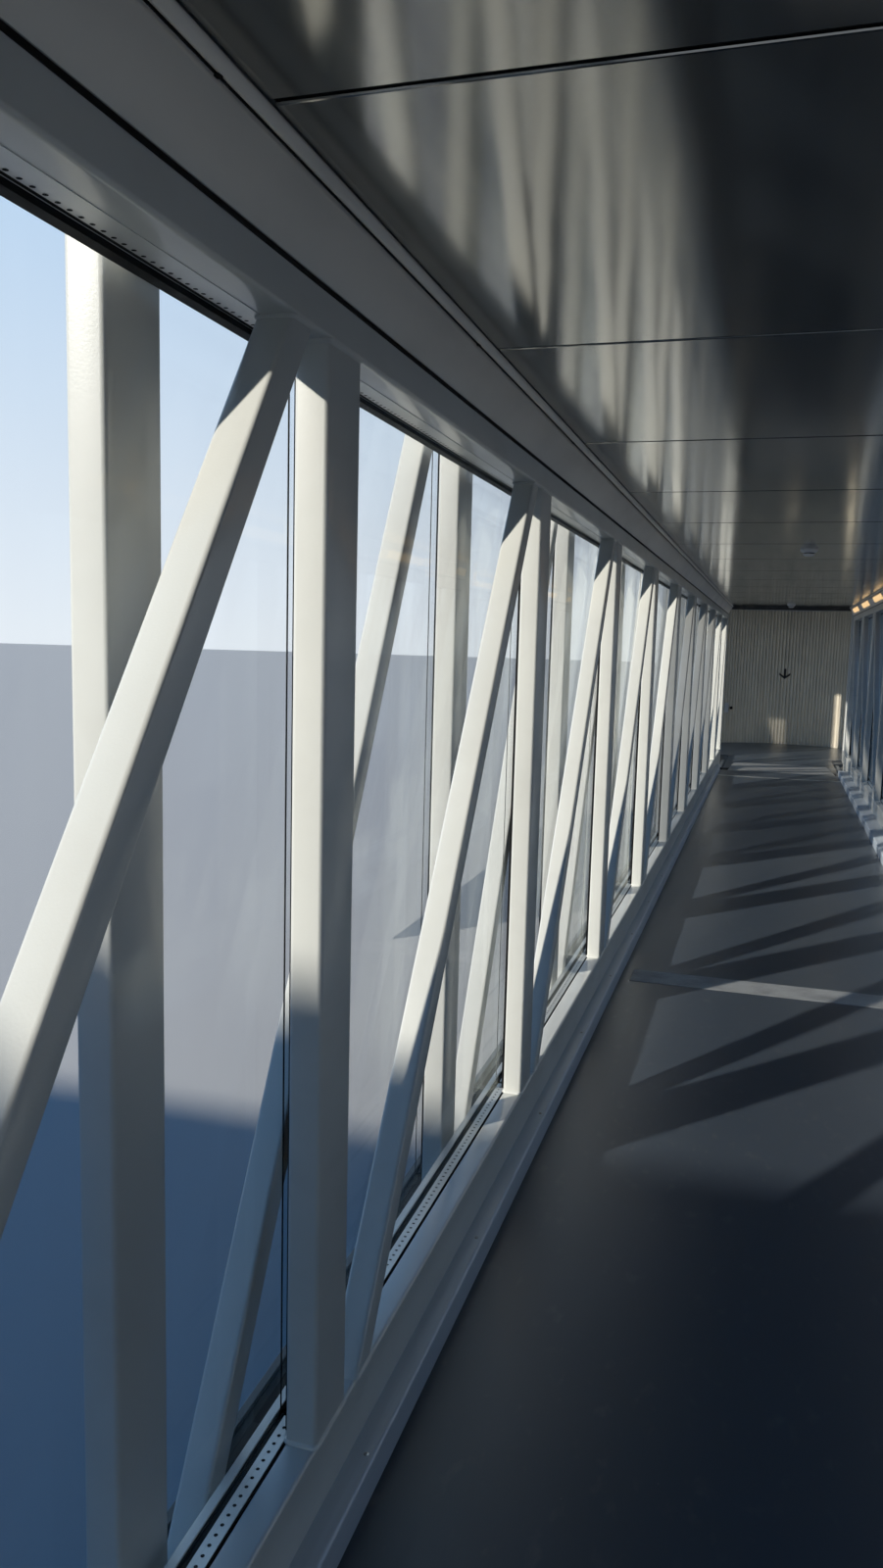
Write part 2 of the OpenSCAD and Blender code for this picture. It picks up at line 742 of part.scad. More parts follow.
translate([0, -part_len / 2, -ground_z]) {
    inner_chord_low(LEFT);  // inner_bottom_chord_left
    inner_chord_low(RIGHT);  // inner_bottom_chord_right
    inner_chord_high(LEFT);  // inner_top_chord_left
    inner_chord_high(RIGHT);  // inner_top_chord_right
    inner_posts(LEFT);  // inner_posts_left
    inner_posts(RIGHT);  // inner_posts_right
    inner_diagonals(LEFT);  // inner_diagonals_left
    inner_diagonals(RIGHT);  // inner_diagonals_right
    inner_glass(LEFT);  // inner_glass_left
    inner_glass(RIGHT);  // inner_glass_right
    inner_caps(LEFT);  // inner_glass_caps_left
    inner_caps(RIGHT);  // inner_glass_caps_right
    inner_floor_deck();
    inner_floor_sheet();
    kerb(kerb_left_w, LEFT);  // kerb_left
    kerb(kerb_right_w, RIGHT);  // kerb_right
    cove(LEFT);  // cove_left
    cove(RIGHT);  // cove_right
    cove_lamps();
    ceiling_panels();
    inner_roof();
    inner_near_portal();
    inner_far_portal();
    smoke_detectors();
    inner_rollers();
    flap_hinge();
    floor_flap();
    outer_chord_low(LEFT);  // outer_bottom_chord_left
    outer_chord_low(RIGHT);  // outer_bottom_chord_right
    outer_chord_high(LEFT);  // outer_top_chord_left
    outer_chord_high(RIGHT);  // outer_top_chord_right
    outer_posts(LEFT);  // outer_posts_left
    outer_posts(RIGHT);  // outer_posts_right
    outer_diagonals(LEFT);  // outer_diagonals_left
    outer_diagonals(RIGHT);  // outer_diagonals_right
    outer_glass(LEFT);  // outer_glass_left
    outer_glass(RIGHT);  // outer_glass_right
    outer_caps(LEFT);  // outer_glass_caps_left
    outer_caps(RIGHT);  // outer_glass_caps_right
    outer_floor_deck();
    outer_floor_sheet();
    guide_rails();
    outer_ceiling();
    outer_roof();
    outer_near_portal();
    outer_far_portal();
    outer_rollers();
    lift_brackets();
    swivel_tongue();
    drum_floor();
    drum_roof();
    drum_posts();
    slat_curtain();
}
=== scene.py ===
from math import cos, pi, radians, sin, sqrt

import bmesh
import bpy
from mathutils import Matrix, Vector


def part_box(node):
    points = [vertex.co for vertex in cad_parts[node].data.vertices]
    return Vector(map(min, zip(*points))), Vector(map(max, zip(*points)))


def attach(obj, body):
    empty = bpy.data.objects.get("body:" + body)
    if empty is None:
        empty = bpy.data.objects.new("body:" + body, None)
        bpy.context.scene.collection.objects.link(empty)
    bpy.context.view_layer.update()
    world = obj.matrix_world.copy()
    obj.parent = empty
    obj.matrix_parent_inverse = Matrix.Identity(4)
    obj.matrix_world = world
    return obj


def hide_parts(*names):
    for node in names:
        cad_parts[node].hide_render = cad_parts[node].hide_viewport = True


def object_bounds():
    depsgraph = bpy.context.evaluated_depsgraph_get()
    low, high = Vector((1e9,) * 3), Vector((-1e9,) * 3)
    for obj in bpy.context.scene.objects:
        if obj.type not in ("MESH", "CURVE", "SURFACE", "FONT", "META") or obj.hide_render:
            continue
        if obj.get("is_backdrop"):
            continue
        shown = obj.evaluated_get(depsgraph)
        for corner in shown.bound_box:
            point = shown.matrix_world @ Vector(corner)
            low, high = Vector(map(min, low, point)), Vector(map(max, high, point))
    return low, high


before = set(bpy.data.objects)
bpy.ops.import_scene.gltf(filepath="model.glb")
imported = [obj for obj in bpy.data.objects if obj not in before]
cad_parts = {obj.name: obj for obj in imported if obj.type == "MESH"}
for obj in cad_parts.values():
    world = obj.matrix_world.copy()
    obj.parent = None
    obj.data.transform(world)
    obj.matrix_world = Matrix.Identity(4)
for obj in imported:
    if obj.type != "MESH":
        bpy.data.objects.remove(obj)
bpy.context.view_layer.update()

# The photographer stands in the inner tunnel, 1.8 m from its near end and a little left of its
# middle, at eye height. The view looks along the tunnel, slightly left and down, with a small tilt.
near_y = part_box("inner_near_portal")[0].y
floor_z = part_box("inner_floor_sheet")[1].z
eye = Vector((-0.162, near_y + 1.80, floor_z + 1.635))
turn_left, look_down, tilt = 0.2899, 0.1267, 0.0260
focal_px, photo_height = 1123.05, 1600
looking = Vector((-sin(turn_left) * cos(look_down), cos(turn_left) * cos(look_down), -sin(look_down)))
level_right = Vector((cos(turn_left), sin(turn_left), 0))
level_up = level_right.cross(looking)
view_right = cos(tilt) * level_right + sin(tilt) * level_up
view_up = cos(tilt) * level_up - sin(tilt) * level_right
camera = bpy.data.objects.new("camera", bpy.data.cameras.new("camera"))
camera.data.sensor_width = 36
camera.data.lens = focal_px / photo_height * camera.data.sensor_width
camera.data.clip_start, camera.data.clip_end = 0.02, 400
camera.matrix_world = Matrix.Translation(eye) @ Matrix((view_right, view_up, -looking)).transposed().to_4x4()
bpy.context.scene.collection.objects.link(camera)
bpy.context.scene.camera = camera
bpy.context.scene.view_settings.view_transform = "Standard"


# The floor frames are steel plates on cross beams, between the bottom chords. Their dark paint is
# dull, and it carries the dust and scuffs that all the painted steel here shares.
def shader_group(name, inputs, outputs):
    """A shader node group with named sockets, still empty."""
    group = bpy.data.node_groups.new(name, "ShaderNodeTree")
    for label, kind, value in inputs:
        socket = group.interface.new_socket(label, in_out="INPUT", socket_type="NodeSocket" + kind)
        socket.default_value = value
    for label, kind in outputs:
        group.interface.new_socket(label, in_out="OUTPUT", socket_type="NodeSocket" + kind)
    return group, group.nodes.new("NodeGroupInput"), group.nodes.new("NodeGroupOutput")


def noise(tree, scale, detail=4.0, stretch=(1, 1, 1)):
    """Noise on Object coordinates, in metres; stretch sets how fast it changes along each axis."""
    place = tree.nodes.new("ShaderNodeTexCoord")
    mapping = tree.nodes.new("ShaderNodeMapping")
    mapping.inputs["Scale"].default_value = stretch
    texture = tree.nodes.new("ShaderNodeTexNoise")
    texture.inputs["Scale"].default_value = scale
    texture.inputs["Detail"].default_value = detail
    tree.links.new(place.outputs["Object"], mapping.inputs["Vector"])
    tree.links.new(mapping.outputs["Vector"], texture.inputs["Vector"])
    return texture.outputs["Fac"]


def between(tree, value, low, high, to_low, to_high):
    """Maps the stretch from low to high onto another stretch, clamped."""
    node = tree.nodes.new("ShaderNodeMapRange")
    for label, number in zip(("From Min", "From Max", "To Min", "To Max"), (low, high, to_low, to_high)):
        node.inputs[label].default_value = number
    tree.links.new(value, node.inputs["Value"])
    return node.outputs["Result"]


def calculated(tree, operation, first, second):
    """A Math node on a socket and a socket or a number."""
    node = tree.nodes.new("ShaderNodeMath")
    node.operation = operation
    for socket, value in zip(node.inputs, (first, second)):
        if isinstance(value, bpy.types.NodeSocket):
            tree.links.new(value, socket)
        else:
            socket.default_value = value
    return node.outputs[0]


def blend_colours(tree, factor, first, second, mode="MIX"):
    """Mixes two colours, each a socket or three numbers."""
    node = tree.nodes.new("ShaderNodeMix")
    node.data_type = "RGBA"
    node.blend_type = mode
    for socket, value in ((node.inputs[0], factor), (node.inputs[6], first), (node.inputs[7], second)):
        if isinstance(value, bpy.types.NodeSocket):
            tree.links.new(value, socket)
        else:
            socket.default_value = (*value, 1) if isinstance(value, tuple) else value
    return node.outputs[2]


def make_dusty_finish():
    """Uneven colour, dust, scuffs and a fine orange peel, for paint and sheet metal."""
    tree, given, result = shader_group(
        "dusty finish",
        [("Colour", "Color", (0.5, 0.5, 0.5, 1)), ("Dust Colour", "Color", (0.36, 0.34, 0.30, 1)),
         ("Dust", "Float", 0.2), ("Gloss Roughness", "Float", 0.35), ("Dull Roughness", "Float", 0.6),
         ("Peel", "Float", 0.3)],
        [("Colour", "Color"), ("Roughness", "Float"), ("Height", "Float")])
    cloudy = noise(tree, 1.6, 5.0)
    scuffs = noise(tree, 9.0, 6.0, (1, 0.35, 1))
    peel = noise(tree, 260.0, 2.0)
    dust = calculated(tree, "MULTIPLY", between(tree, scuffs, 0.50, 0.78, 0, 1), given.outputs["Dust"])
    shade = between(tree, cloudy, 0.3, 0.7, 0.92, 1.05)
    toned = blend_colours(tree, 1.0, given.outputs["Colour"], shade, "MULTIPLY")
    tree.links.new(blend_colours(tree, dust, toned, given.outputs["Dust Colour"]), result.inputs["Colour"])
    gloss = tree.nodes.new("ShaderNodeMix")
    tree.links.new(between(tree, scuffs, 0.35, 0.70, 0, 1), gloss.inputs["Factor"])
    tree.links.new(given.outputs["Gloss Roughness"], gloss.inputs["A"])
    tree.links.new(given.outputs["Dull Roughness"], gloss.inputs["B"])
    tree.links.new(gloss.outputs["Result"], result.inputs["Roughness"])
    tree.links.new(calculated(tree, "MULTIPLY", peel, given.outputs["Peel"]), result.inputs["Height"])
    return tree


def new_material(name):
    """A material with its node tree and its Principled shader."""
    material = bpy.data.materials.new(name)
    material.use_nodes = True
    return material, material.node_tree, material.node_tree.nodes["Principled BSDF"]


def add_bump(tree, shader, height, depth, strength=1.0):
    bump = tree.nodes.new("ShaderNodeBump")
    bump.inputs["Distance"].default_value = depth
    bump.inputs["Strength"].default_value = strength
    tree.links.new(height, bump.inputs["Height"])
    tree.links.new(bump.outputs["Normal"], shader.inputs["Normal"])


def dusty_paint(name, colour, dust=0.2, gloss=0.35, dull=0.6, peel=0.3, metallic=0.0):
    """Painted or bare sheet with the shared dusty finish."""
    material, tree, shader = new_material(name)
    finish = tree.nodes.new("ShaderNodeGroup")
    finish.node_tree = dusty_finish
    for label, value in (("Colour", (*colour, 1)), ("Dust", dust), ("Gloss Roughness", gloss),
                         ("Dull Roughness", dull), ("Peel", peel)):
        finish.inputs[label].default_value = value
    tree.links.new(finish.outputs["Colour"], shader.inputs["Base Color"])
    tree.links.new(finish.outputs["Roughness"], shader.inputs["Roughness"])
    add_bump(tree, shader, finish.outputs["Height"], 0.0004)
    shader.inputs["Metallic"].default_value = metallic
    material.diffuse_color = (*colour, 1)
    return material


def finish_cad(node, material, edge=0.0):
    """Gives a CAD node, whose shape is right, its material and a small bevel."""
    node_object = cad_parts[node]
    node_object.data.materials.clear()
    node_object.data.materials.append(material)
    if edge:
        bevel = node_object.modifiers.new("edge", "BEVEL")
        bevel.width, bevel.segments, bevel.limit_method = edge, 2, "ANGLE"
        bevel.angle_limit = radians(40)


dusty_finish = make_dusty_finish()
deck_paint = dusty_paint("dark floor frame paint", (0.045, 0.048, 0.052), dust=0.5, gloss=0.5, dull=0.8)
finish_cad("inner_floor_deck", deck_paint)
finish_cad("outer_floor_deck", deck_paint)


# The floor is a charcoal rubber sheet, glued down and worn to a soft sheen in places. A strip of
# grit tape crosses it where two lengths meet, and a metal cover strip crosses it near the flap.
def rubber_sheet():
    material, tree, shader = new_material("charcoal rubber sheet")
    worn = noise(tree, 1.1, 1.5, (1.6, 0.35, 1))
    marks = noise(tree, 26.0, 8.0, (1, 0.5, 1))
    specks = noise(tree, 160.0, 1.0)
    grain = noise(tree, 700.0, 2.0)
    base = blend_colours(tree, between(tree, worn, 0.35, 0.68, 0, 1), (0.036, 0.048, 0.064),
                         (0.056, 0.068, 0.082))
    marked = blend_colours(tree, between(tree, marks, 0.60, 0.80, 0, 0.4), base, (0.13, 0.13, 0.125))
    tree.links.new(blend_colours(tree, between(tree, specks, 0.84, 0.88, 0, 1), marked, (0.45, 0.45, 0.43)),
                   shader.inputs["Base Color"])
    tree.links.new(between(tree, worn, 0.3, 0.7, 0.36, 0.285), shader.inputs["Roughness"])
    add_bump(tree, shader, grain, 0.0004, 0.4)
    return material


def grit_tape():
    """Light grey mineral grit that glitters."""
    material, tree, shader = new_material("grit tape")
    grit = noise(tree, 900.0, 3.0)
    soiled = noise(tree, 8.0, 5.0)
    base = blend_colours(tree, between(tree, grit, 0.40, 0.62, 0, 1), (0.12, 0.125, 0.125),
                         (0.50, 0.51, 0.50))
    tree.links.new(blend_colours(tree, between(tree, soiled, 0.45, 0.72, 0, 0.6), base, (0.10, 0.10, 0.10)),
                   shader.inputs["Base Color"])
    tree.links.new(between(tree, grit, 0.4, 0.6, 0.7, 0.285), shader.inputs["Roughness"])
    add_bump(tree, shader, grit, 0.001)
    return material


def solid_piece(name, points, faces, material, body=None, smooth_below=40):
    """A mesh whose faces point outwards. Narrow faces that meet at a small angle are shaded smooth."""
    mesh = bpy.data.meshes.new(name)
    mesh.from_pydata(points, [], faces)
    shape = bmesh.new()
    shape.from_mesh(mesh)
    bmesh.ops.recalc_face_normals(shape, faces=shape.faces)
    for face in shape.faces:
        face.smooth = face.calc_area() < narrow_face * max(edge.calc_length() for edge in face.edges)
    shape.to_mesh(mesh)
    shape.free()
    mesh.set_sharp_from_angle(angle=radians(smooth_below))
    mesh.materials.append(material)
    piece = bpy.data.objects.new(name, mesh)
    bpy.context.scene.collection.objects.link(piece)
    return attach(piece, body) if body else piece


def swept(name, outline, ends, material, body=None):
    """A closed outline of X and Z swept along Y between two ends."""
    count = len(outline)
    points = [(x, y, z) for y in ends for x, z in outline]
    faces = [(i, (i + 1) % count, count + (i + 1) % count, count + i) for i in range(count)]
    faces += [tuple(range(count - 1, -1, -1)), tuple(range(count, 2 * count))]
    return solid_piece(name, points, faces, material, body)


narrow_face = 0.017
rubber = rubber_sheet()
for sheet in ("inner_floor_sheet", "outer_floor_sheet"):
    finish_cad(sheet, rubber)
sheet_low, sheet_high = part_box("inner_floor_sheet")
tape_gap = 0.05
tape_t = 0.0012
tape_w = 0.205
tape_start = near_y + 7.155
tape_left, tape_right = sheet_low.x + tape_gap, sheet_high.x - tape_gap
tape_outline = [(tape_left, floor_z), (tape_left + tape_t, floor_z + tape_t),
                (tape_right - tape_t, floor_z + tape_t), (tape_right, floor_z)]
tape = swept("floor_grit_tape", tape_outline, (tape_start, tape_start + tape_w), grit_tape(), "inner_tunnel")
strip_metal = dusty_paint("brushed cover strip", (0.55, 0.55, 0.53), dust=0.4, gloss=0.285, dull=0.5,
                          metallic=1.0)
strip_t = 0.004
strip_w = 0.06
strip_start = sheet_high.y - 0.75
strip_outline = [(sheet_low.x, floor_z), (sheet_low.x, floor_z + strip_t), (sheet_high.x, floor_z + strip_t),
                 (sheet_high.x, floor_z)]
strip = swept("floor_cover_strip", strip_outline, (strip_start, strip_start + strip_w), strip_metal,
              "inner_tunnel")


# The chords are rectangular hollow sections of steel with rounded corners, painted a warm light
# grey. They run the whole length of each truss.
def arc(centre, radius, start, stop, steps=4):
    """Points on an arc, angles in degrees."""
    return [(centre[0] + radius * cos(radians(start + (stop - start) * i / steps)),
             centre[1] + radius * sin(radians(start + (stop - start) * i / steps))) for i in range(steps + 1)]


def rounded_section(x0, x1, z0, z1, radius, steps=5):
    """Outline of a rectangle with rounded corners."""
    return (arc((x1 - radius, z1 - radius), radius, 0, 90, steps)
            + arc((x0 + radius, z1 - radius), radius, 90, 180, steps)
            + arc((x0 + radius, z0 + radius), radius, 180, 270, steps)
            + arc((x1 - radius, z0 + radius), radius, 270, 360, steps))


truss_paint = dusty_paint("truss paint", (0.66, 0.665, 0.615), dust=0.14, gloss=0.285, dull=0.42, peel=0.35)
for label, value in (("Coat Weight", 0.35), ("Coat Roughness", 0.12)):
    truss_paint.node_tree.nodes["Principled BSDF"].inputs[label].default_value = value
section_corner = 0.008
TUNNELS = ("inner", "outer")
SIDES = ("left", "right")
for tunnel in TUNNELS:
    for side in SIDES:
        for level in ("bottom", "top"):
            node = f"{tunnel}_{level}_chord_{side}"
            low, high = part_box(node)
            chord = swept(f"{tunnel}_{side}_{level}_chord",
                          rounded_section(low.x, high.x, low.z, high.z, section_corner),
                          (low.y, high.y), truss_paint, f"{tunnel}_tunnel")
            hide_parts(node)


# Posts and slimmer diagonals are hollow sections, cut level and welded between the chords with a
# bead round each end. Every bay has a post and a diagonal that rises towards the drum.
def make_repeat_tree():
    """Geometry Nodes that repeat a piece, each copy one step and one turn on from the last."""
    tree = bpy.data.node_groups.new("repeated pieces", "GeometryNodeTree")
    for label, kind in (("Piece", "Object"), ("Count", "Int"), ("Start", "Vector"), ("Step", "Vector"),
                        ("Turn", "Float"), ("Finish", "Material")):
        tree.interface.new_socket(label, in_out="INPUT", socket_type="NodeSocket" + kind)
    tree.interface.new_socket("Geometry", in_out="OUTPUT", socket_type="NodeSocketGeometry")
    given, result = tree.nodes.new("NodeGroupInput"), tree.nodes.new("NodeGroupOutput")
    line = tree.nodes.new("GeometryNodeMeshLine")
    number = tree.nodes.new("GeometryNodeInputIndex")
    turned_by = tree.nodes.new("ShaderNodeMath")
    turned_by.operation = "MULTIPLY"
    angles = tree.nodes.new("ShaderNodeCombineXYZ")
    info = tree.nodes.new("GeometryNodeObjectInfo")
    spread = tree.nodes.new("GeometryNodeInstanceOnPoints")
    real = tree.nodes.new("GeometryNodeRealizeInstances")
    paint = tree.nodes.new("GeometryNodeSetMaterial")
    for start, end in ((given.outputs["Start"], line.inputs["Start Location"]),
                       (given.outputs["Step"], line.inputs["Offset"]),
                       (given.outputs["Count"], line.inputs["Count"]),
                       (number.outputs["Index"], turned_by.inputs[0]),
                       (given.outputs["Turn"], turned_by.inputs[1]),
                       (turned_by.outputs[0], angles.inputs["Z"]),
                       (angles.outputs["Vector"], spread.inputs["Rotation"]),
                       (given.outputs["Piece"], info.inputs["Object"]),
                       (info.outputs["Geometry"], spread.inputs["Instance"]),
                       (line.outputs["Mesh"], spread.inputs["Points"]),
                       (spread.outputs["Instances"], real.inputs["Geometry"]),
                       (real.outputs["Geometry"], paint.inputs["Geometry"]),
                       (given.outputs["Finish"], paint.inputs["Material"]),
                       (paint.outputs["Geometry"], result.inputs["Geometry"])):
        tree.links.new(start, end)
    return tree


def grown(name, tree, settings):
    """Runs a Geometry Nodes tree, with its inputs by name, and keeps the result as a plain mesh."""
    piece = bpy.data.objects.new(name, bpy.data.meshes.new(name + "_start"))
    bpy.context.scene.collection.objects.link(piece)
    modifier = piece.modifiers.new(name, "NODES")
    modifier.node_group = tree
    for item in tree.interface.items_tree:
        if item.item_type == "SOCKET" and item.in_out == "INPUT" and item.name in settings:
            modifier[item.identifier] = settings[item.name]
    bpy.context.view_layer.update()
    view = bpy.context.evaluated_depsgraph_get()
    mesh = bpy.data.meshes.new_from_object(piece.evaluated_get(view), depsgraph=view)
    piece.modifiers.clear()
    piece.data = mesh
    return piece


def repeated(name, unit, count, step, body=None, start=(0.0, 0.0, 0.0), turn=0.0):
    """Repeats a unit from where it lies, drops the unit, and keeps the copies as one piece."""
    piece = grown(name, repeat_tree, {"Piece": unit, "Count": count, "Start": start, "Step": step,
                                      "Turn": turn, "Finish": unit.data.materials[0]})
    bpy.data.objects.remove(unit)
    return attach(piece, body) if body else piece


def joined(name, parts, body=None):
    """Joins parts of one material into one piece."""
    shape = bmesh.new()
    mesh = bpy.data.meshes.new(name)
    for part in parts:
        shape.from_mesh(part.data)
    shape.to_mesh(mesh)
    shape.free()
    mesh.materials.append(parts[0].data.materials[0])
    for part in parts:
        bpy.data.objects.remove(part)
    piece = bpy.data.objects.new(name, mesh)
    bpy.context.scene.collection.objects.link(piece)
    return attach(piece, body) if body else piece


def truss_bar(x0, x1, y, width, lean_run, z0, z1):
    """A hollow section cut level, with a weld bead at both ends; it leans lean_run along Y."""
    height = z1 - z0
    cut_width = width * sqrt(1 + (lean_run / height) ** 2)
    bead = 0.005
    points, faces = [], []
    levels = ((0, bead), (0.45 * bead, 0.9 * bead), (bead, 0.5 * bead), (1.3 * bead, 0))
    levels += tuple((height - rise, swell) for rise, swell in reversed(levels))
    for rise, swell in levels:
        middle = y + lean_run * rise / height
        outline = rounded_section(x0 - swell, x1 + swell, middle - cut_width / 2 - swell,
                                  middle + cut_width / 2 + swell, section_corner + swell)
        points += [(u, v, z0 + rise) for u, v in outline]
    count = len(outline)
    for ring in range(len(levels) - 1):
        base = ring * count
        faces += [(base + i, base + (i + 1) % count, base + count + (i + 1) % count, base + count + i)
                  for i in range(count)]
    faces += [tuple(range(count)), tuple(range(len(points) - count, len(points)))]
    return solid_piece("bar", points, faces, truss_paint)


repeat_tree = make_repeat_tree()
bay = 1.660
post_width = 0.140
diagonal_width = 0.062
for tunnel in TUNNELS:
    for side in SIDES:
        low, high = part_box(f"{tunnel}_posts_{side}")
        body = f"{tunnel}_tunnel"
        count = round((high.y - low.y - post_width) / bay) + 1
        post = truss_bar(low.x, high.x, low.y + post_width / 2, post_width, 0, low.z, high.z)
        posts = repeated(f"{tunnel}_{side}_posts", post, count, (0, bay, 0), body)
        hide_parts(f"{tunnel}_posts_{side}")
        diagonal_low, diagonal_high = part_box(f"{tunnel}_diagonals_{side}")
        reach = diagonal_high.y - diagonal_low.y - (count - 2) * bay
        share = (diagonal_width / (high.z - low.z)) ** 2
        run = (reach - sqrt(reach ** 2 - (1 - share) * (reach ** 2 - diagonal_width ** 2))) / (1 - share)
        foot = diagonal_low.y + (reach - run) / 2
        bar = truss_bar(low.x, high.x, foot, diagonal_width, run, low.z, high.z)
        bars = repeated(f"{tunnel}_{side}_diagonals", bar, count - 1, (0, bay, 0), body)
        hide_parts(f"{tunnel}_diagonals_{side}")


# Each bay is glazed outside the truss with a double unit, which has a spacer with a row of small
# perforations, of folded aluminium on the inner tunnel and black on the outer. Black gaskets lie on
# both sides of it, and cap strips hold it, light ones on the inner tunnel and dark ones on the outer.
def pane_glass():
    """Clear glass: it hardly shows face on, and it mirrors more the lower the angle is."""
    material, tree, shader = new_material("pane glass")
    angle = tree.nodes.new("ShaderNodeLayerWeight")
    rays = tree.nodes.new("ShaderNodeLightPath")
    streaks = noise(tree, 5.0, 6.0, (1, 1, 0.3))
    lit_through = calculated(tree, "MAXIMUM", rays.outputs["Is Shadow Ray"], rays.outputs["Is Diffuse Ray"])
    seen = calculated(tree, "SUBTRACT", 1.0, lit_through)
    grazing = calculated(tree, "POWER", angle.outputs["Facing"], 5.0)
    film = between(tree, streaks, 0.45, 0.75, 0.003, 0.010)
    mirror = calculated(tree, "ADD", calculated(tree, "MULTIPLY", grazing, 0.45), film)
    tree.links.new(calculated(tree, "MULTIPLY", mirror, seen), shader.inputs["Alpha"])
    tree.links.new(between(tree, streaks, 0.3, 0.7, 0.0, 0.03), shader.inputs["Roughness"])
    tree.links.new(blend_colours(tree, between(tree, streaks, 0.4, 0.7, 0, 1), (0.72, 0.80, 0.78),
                                 (0.80, 0.86, 0.84)), shader.inputs["Base Color"])
    shader.inputs["Metallic"].default_value = 1.0
    return material


def black_rubber():
    material, tree, shader = new_material("black gasket")
    dusty = noise(tree, 40.0, 5.0)
    tree.links.new(blend_colours(tree, between(tree, dusty, 0.4, 0.75, 0, 0.4), (0.004, 0.004, 0.0045),
                                 (0.020, 0.020, 0.019)), shader.inputs["Base Color"])
    tree.links.new(between(tree, dusty, 0.3, 0.7, 0.55, 0.8), shader.inputs["Roughness"])
    shader.inputs["Specular IOR Level"].default_value = 0.12
    return material


def bars_of(name, corners, material, edge=0.0, body=None):
    """Bars as one piece, each from its low to its high corner, with bevelled edges."""
    shape = bmesh.new()
    for low_corner, high_corner in corners:
        middle = (Vector(low_corner) + Vector(high_corner)) / 2
        size = Vector(high_corner) - Vector(low_corner)
        bmesh.ops.create_cube(shape, size=1, matrix=Matrix.Translation(middle) @ Matrix.Diagonal((*size, 1)))
    if edge:
        bmesh.ops.bevel(shape, geom=list(shape.edges), offset=edge, segments=2, affect="EDGES", profile=0.5)
    mesh = bpy.data.meshes.new(name)
    shape.to_mesh(mesh)
    shape.free()
    mesh.materials.append(material)
    piece = bpy.data.objects.new(name, mesh)
    bpy.context.scene.collection.objects.link(piece)
    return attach(piece, body) if body else piece


def unit_block(at, y0, y1, z0, z1, sill, head):
    """The unit itself, from face to face."""
    return [at(gasket_t, y0, z0, unit_out, y1, z1)]


def unit_spacer(at, y0, y1, z0, z1, sill, head):
    """The strips with the perforations: beside a black line over the sill, and closed at the head."""
    return [at(line_w, y0 + spacer_end, sill - spacer_h, spacer_out, y1 - spacer_end, sill + spacer_show),
            at(-head_reach, y0 + spacer_end, head - spacer_show, spacer_out, y1 - spacer_end,
               head + spacer_h)]


def unit_sealant(at, y0, y1, z0, z1, sill, head):
    """Black sealant behind the spacers, between the two faces of the glass."""
    near, far = gasket_t + face_gap, unit_out - face_gap
    start, stop = y0 + edge_gap, y1 - edge_gap
    return [at(near, start, z0 + edge_gap, far, stop, sill - spacer_h),
            at(near, start, head + spacer_h, far, stop, z1 - edge_gap),
            at(spacer_out, start, sill - spacer_h, far, stop, sill - line_gap),
            at(spacer_out, start, head + line_gap, far, stop, head + spacer_h)]


def glazed(name, corners, material, units, body):
    """One kind of bar of all the units of a wall: the like ones in a row, and the two end ones."""
    unit = bars_of("unit", corners(*units[1]), material)
    typical = repeated("like_units", unit, len(units) - 2, (0, bay, 0))
    ends = bars_of("end_units", corners(*units[0]) + corners(*units[-1]), material)
    return joined(name, [typical, ends], body)


def perforations(name, units, body):
    """Small dark holes along the spacers, over the sill and under the head."""
    parts = []
    for at, y0, y1, z0, z1, sill, head in (units[1], units[0], units[-1]):
        for level, lift, row in ((sill + spacer_show, hole_lift, sill_row),
                                 (head - spacer_show, -hole_lift, head_row)):
            middle = at(row, y0, z0, row, y1, z1)[0][0]
            corners = [radians(360 / hole_sides * i) for i in range(hole_sides)]
            hole = [(middle + hole_r * cos(a), y0 + first_hole + hole_r * sin(a), level + lift)
                    for a in corners]
            disc = solid_piece("hole", hole, [tuple(range(hole_sides))], gasket_and_painted_shadow)
            if lift < 0:
                disc.data.flip_normals()
            holes_in_row = int((y1 - y0 - 2 * first_hole) / hole_pitch) + 1
            line = repeated("holes", disc, holes_in_row, (0, hole_pitch, 0))
            typical = units[1][1] == y0
            parts.append(repeated("rows", line, len(units) - 2, (0, bay, 0)) if typical else line)
    return joined(name, parts, body)


glass, gasket_and_painted_shadow = pane_glass(), black_rubber()
spacer_metal = dusty_paint("spacer aluminium", (0.62, 0.63, 0.62), dust=0.2, gloss=0.35, dull=0.5,
                           metallic=0.6)
strip_paint = dusty_paint("cap strip aluminium", (0.60, 0.61, 0.60), dust=0.35, gloss=0.285, dull=0.5,
                          metallic=0.5)
dark_strip = dusty_paint("dark cap strip", (0.030, 0.032, 0.034), dust=0.25, gloss=0.35, dull=0.5)
# Distances out from the truss, and thicknesses
gasket_t = 0.012
unit_out = gasket_t + 0.028
line_w = 0.0035
spacer_out = 0.030
head_reach = 0.009
post_tape_in = 0.004
seam_t = 0.0015
cap_in = 0.044
cap_out = 0.062
cap_step = 0.002
# Heights beside the sill and the head
spacer_h = 0.012
spacer_show = 0.001
line_gap = 0.001
gasket_show = 0.002
cap_show = 0.004
head_gasket = 0.009
# Widths and gaps along the wall
unit_joint = 0.003
spacer_end = 0.006
seam_w = 0.004
cap_w = 0.060
cap_edge = 0.0015
face_gap = 0.0004
edge_gap = 0.0005
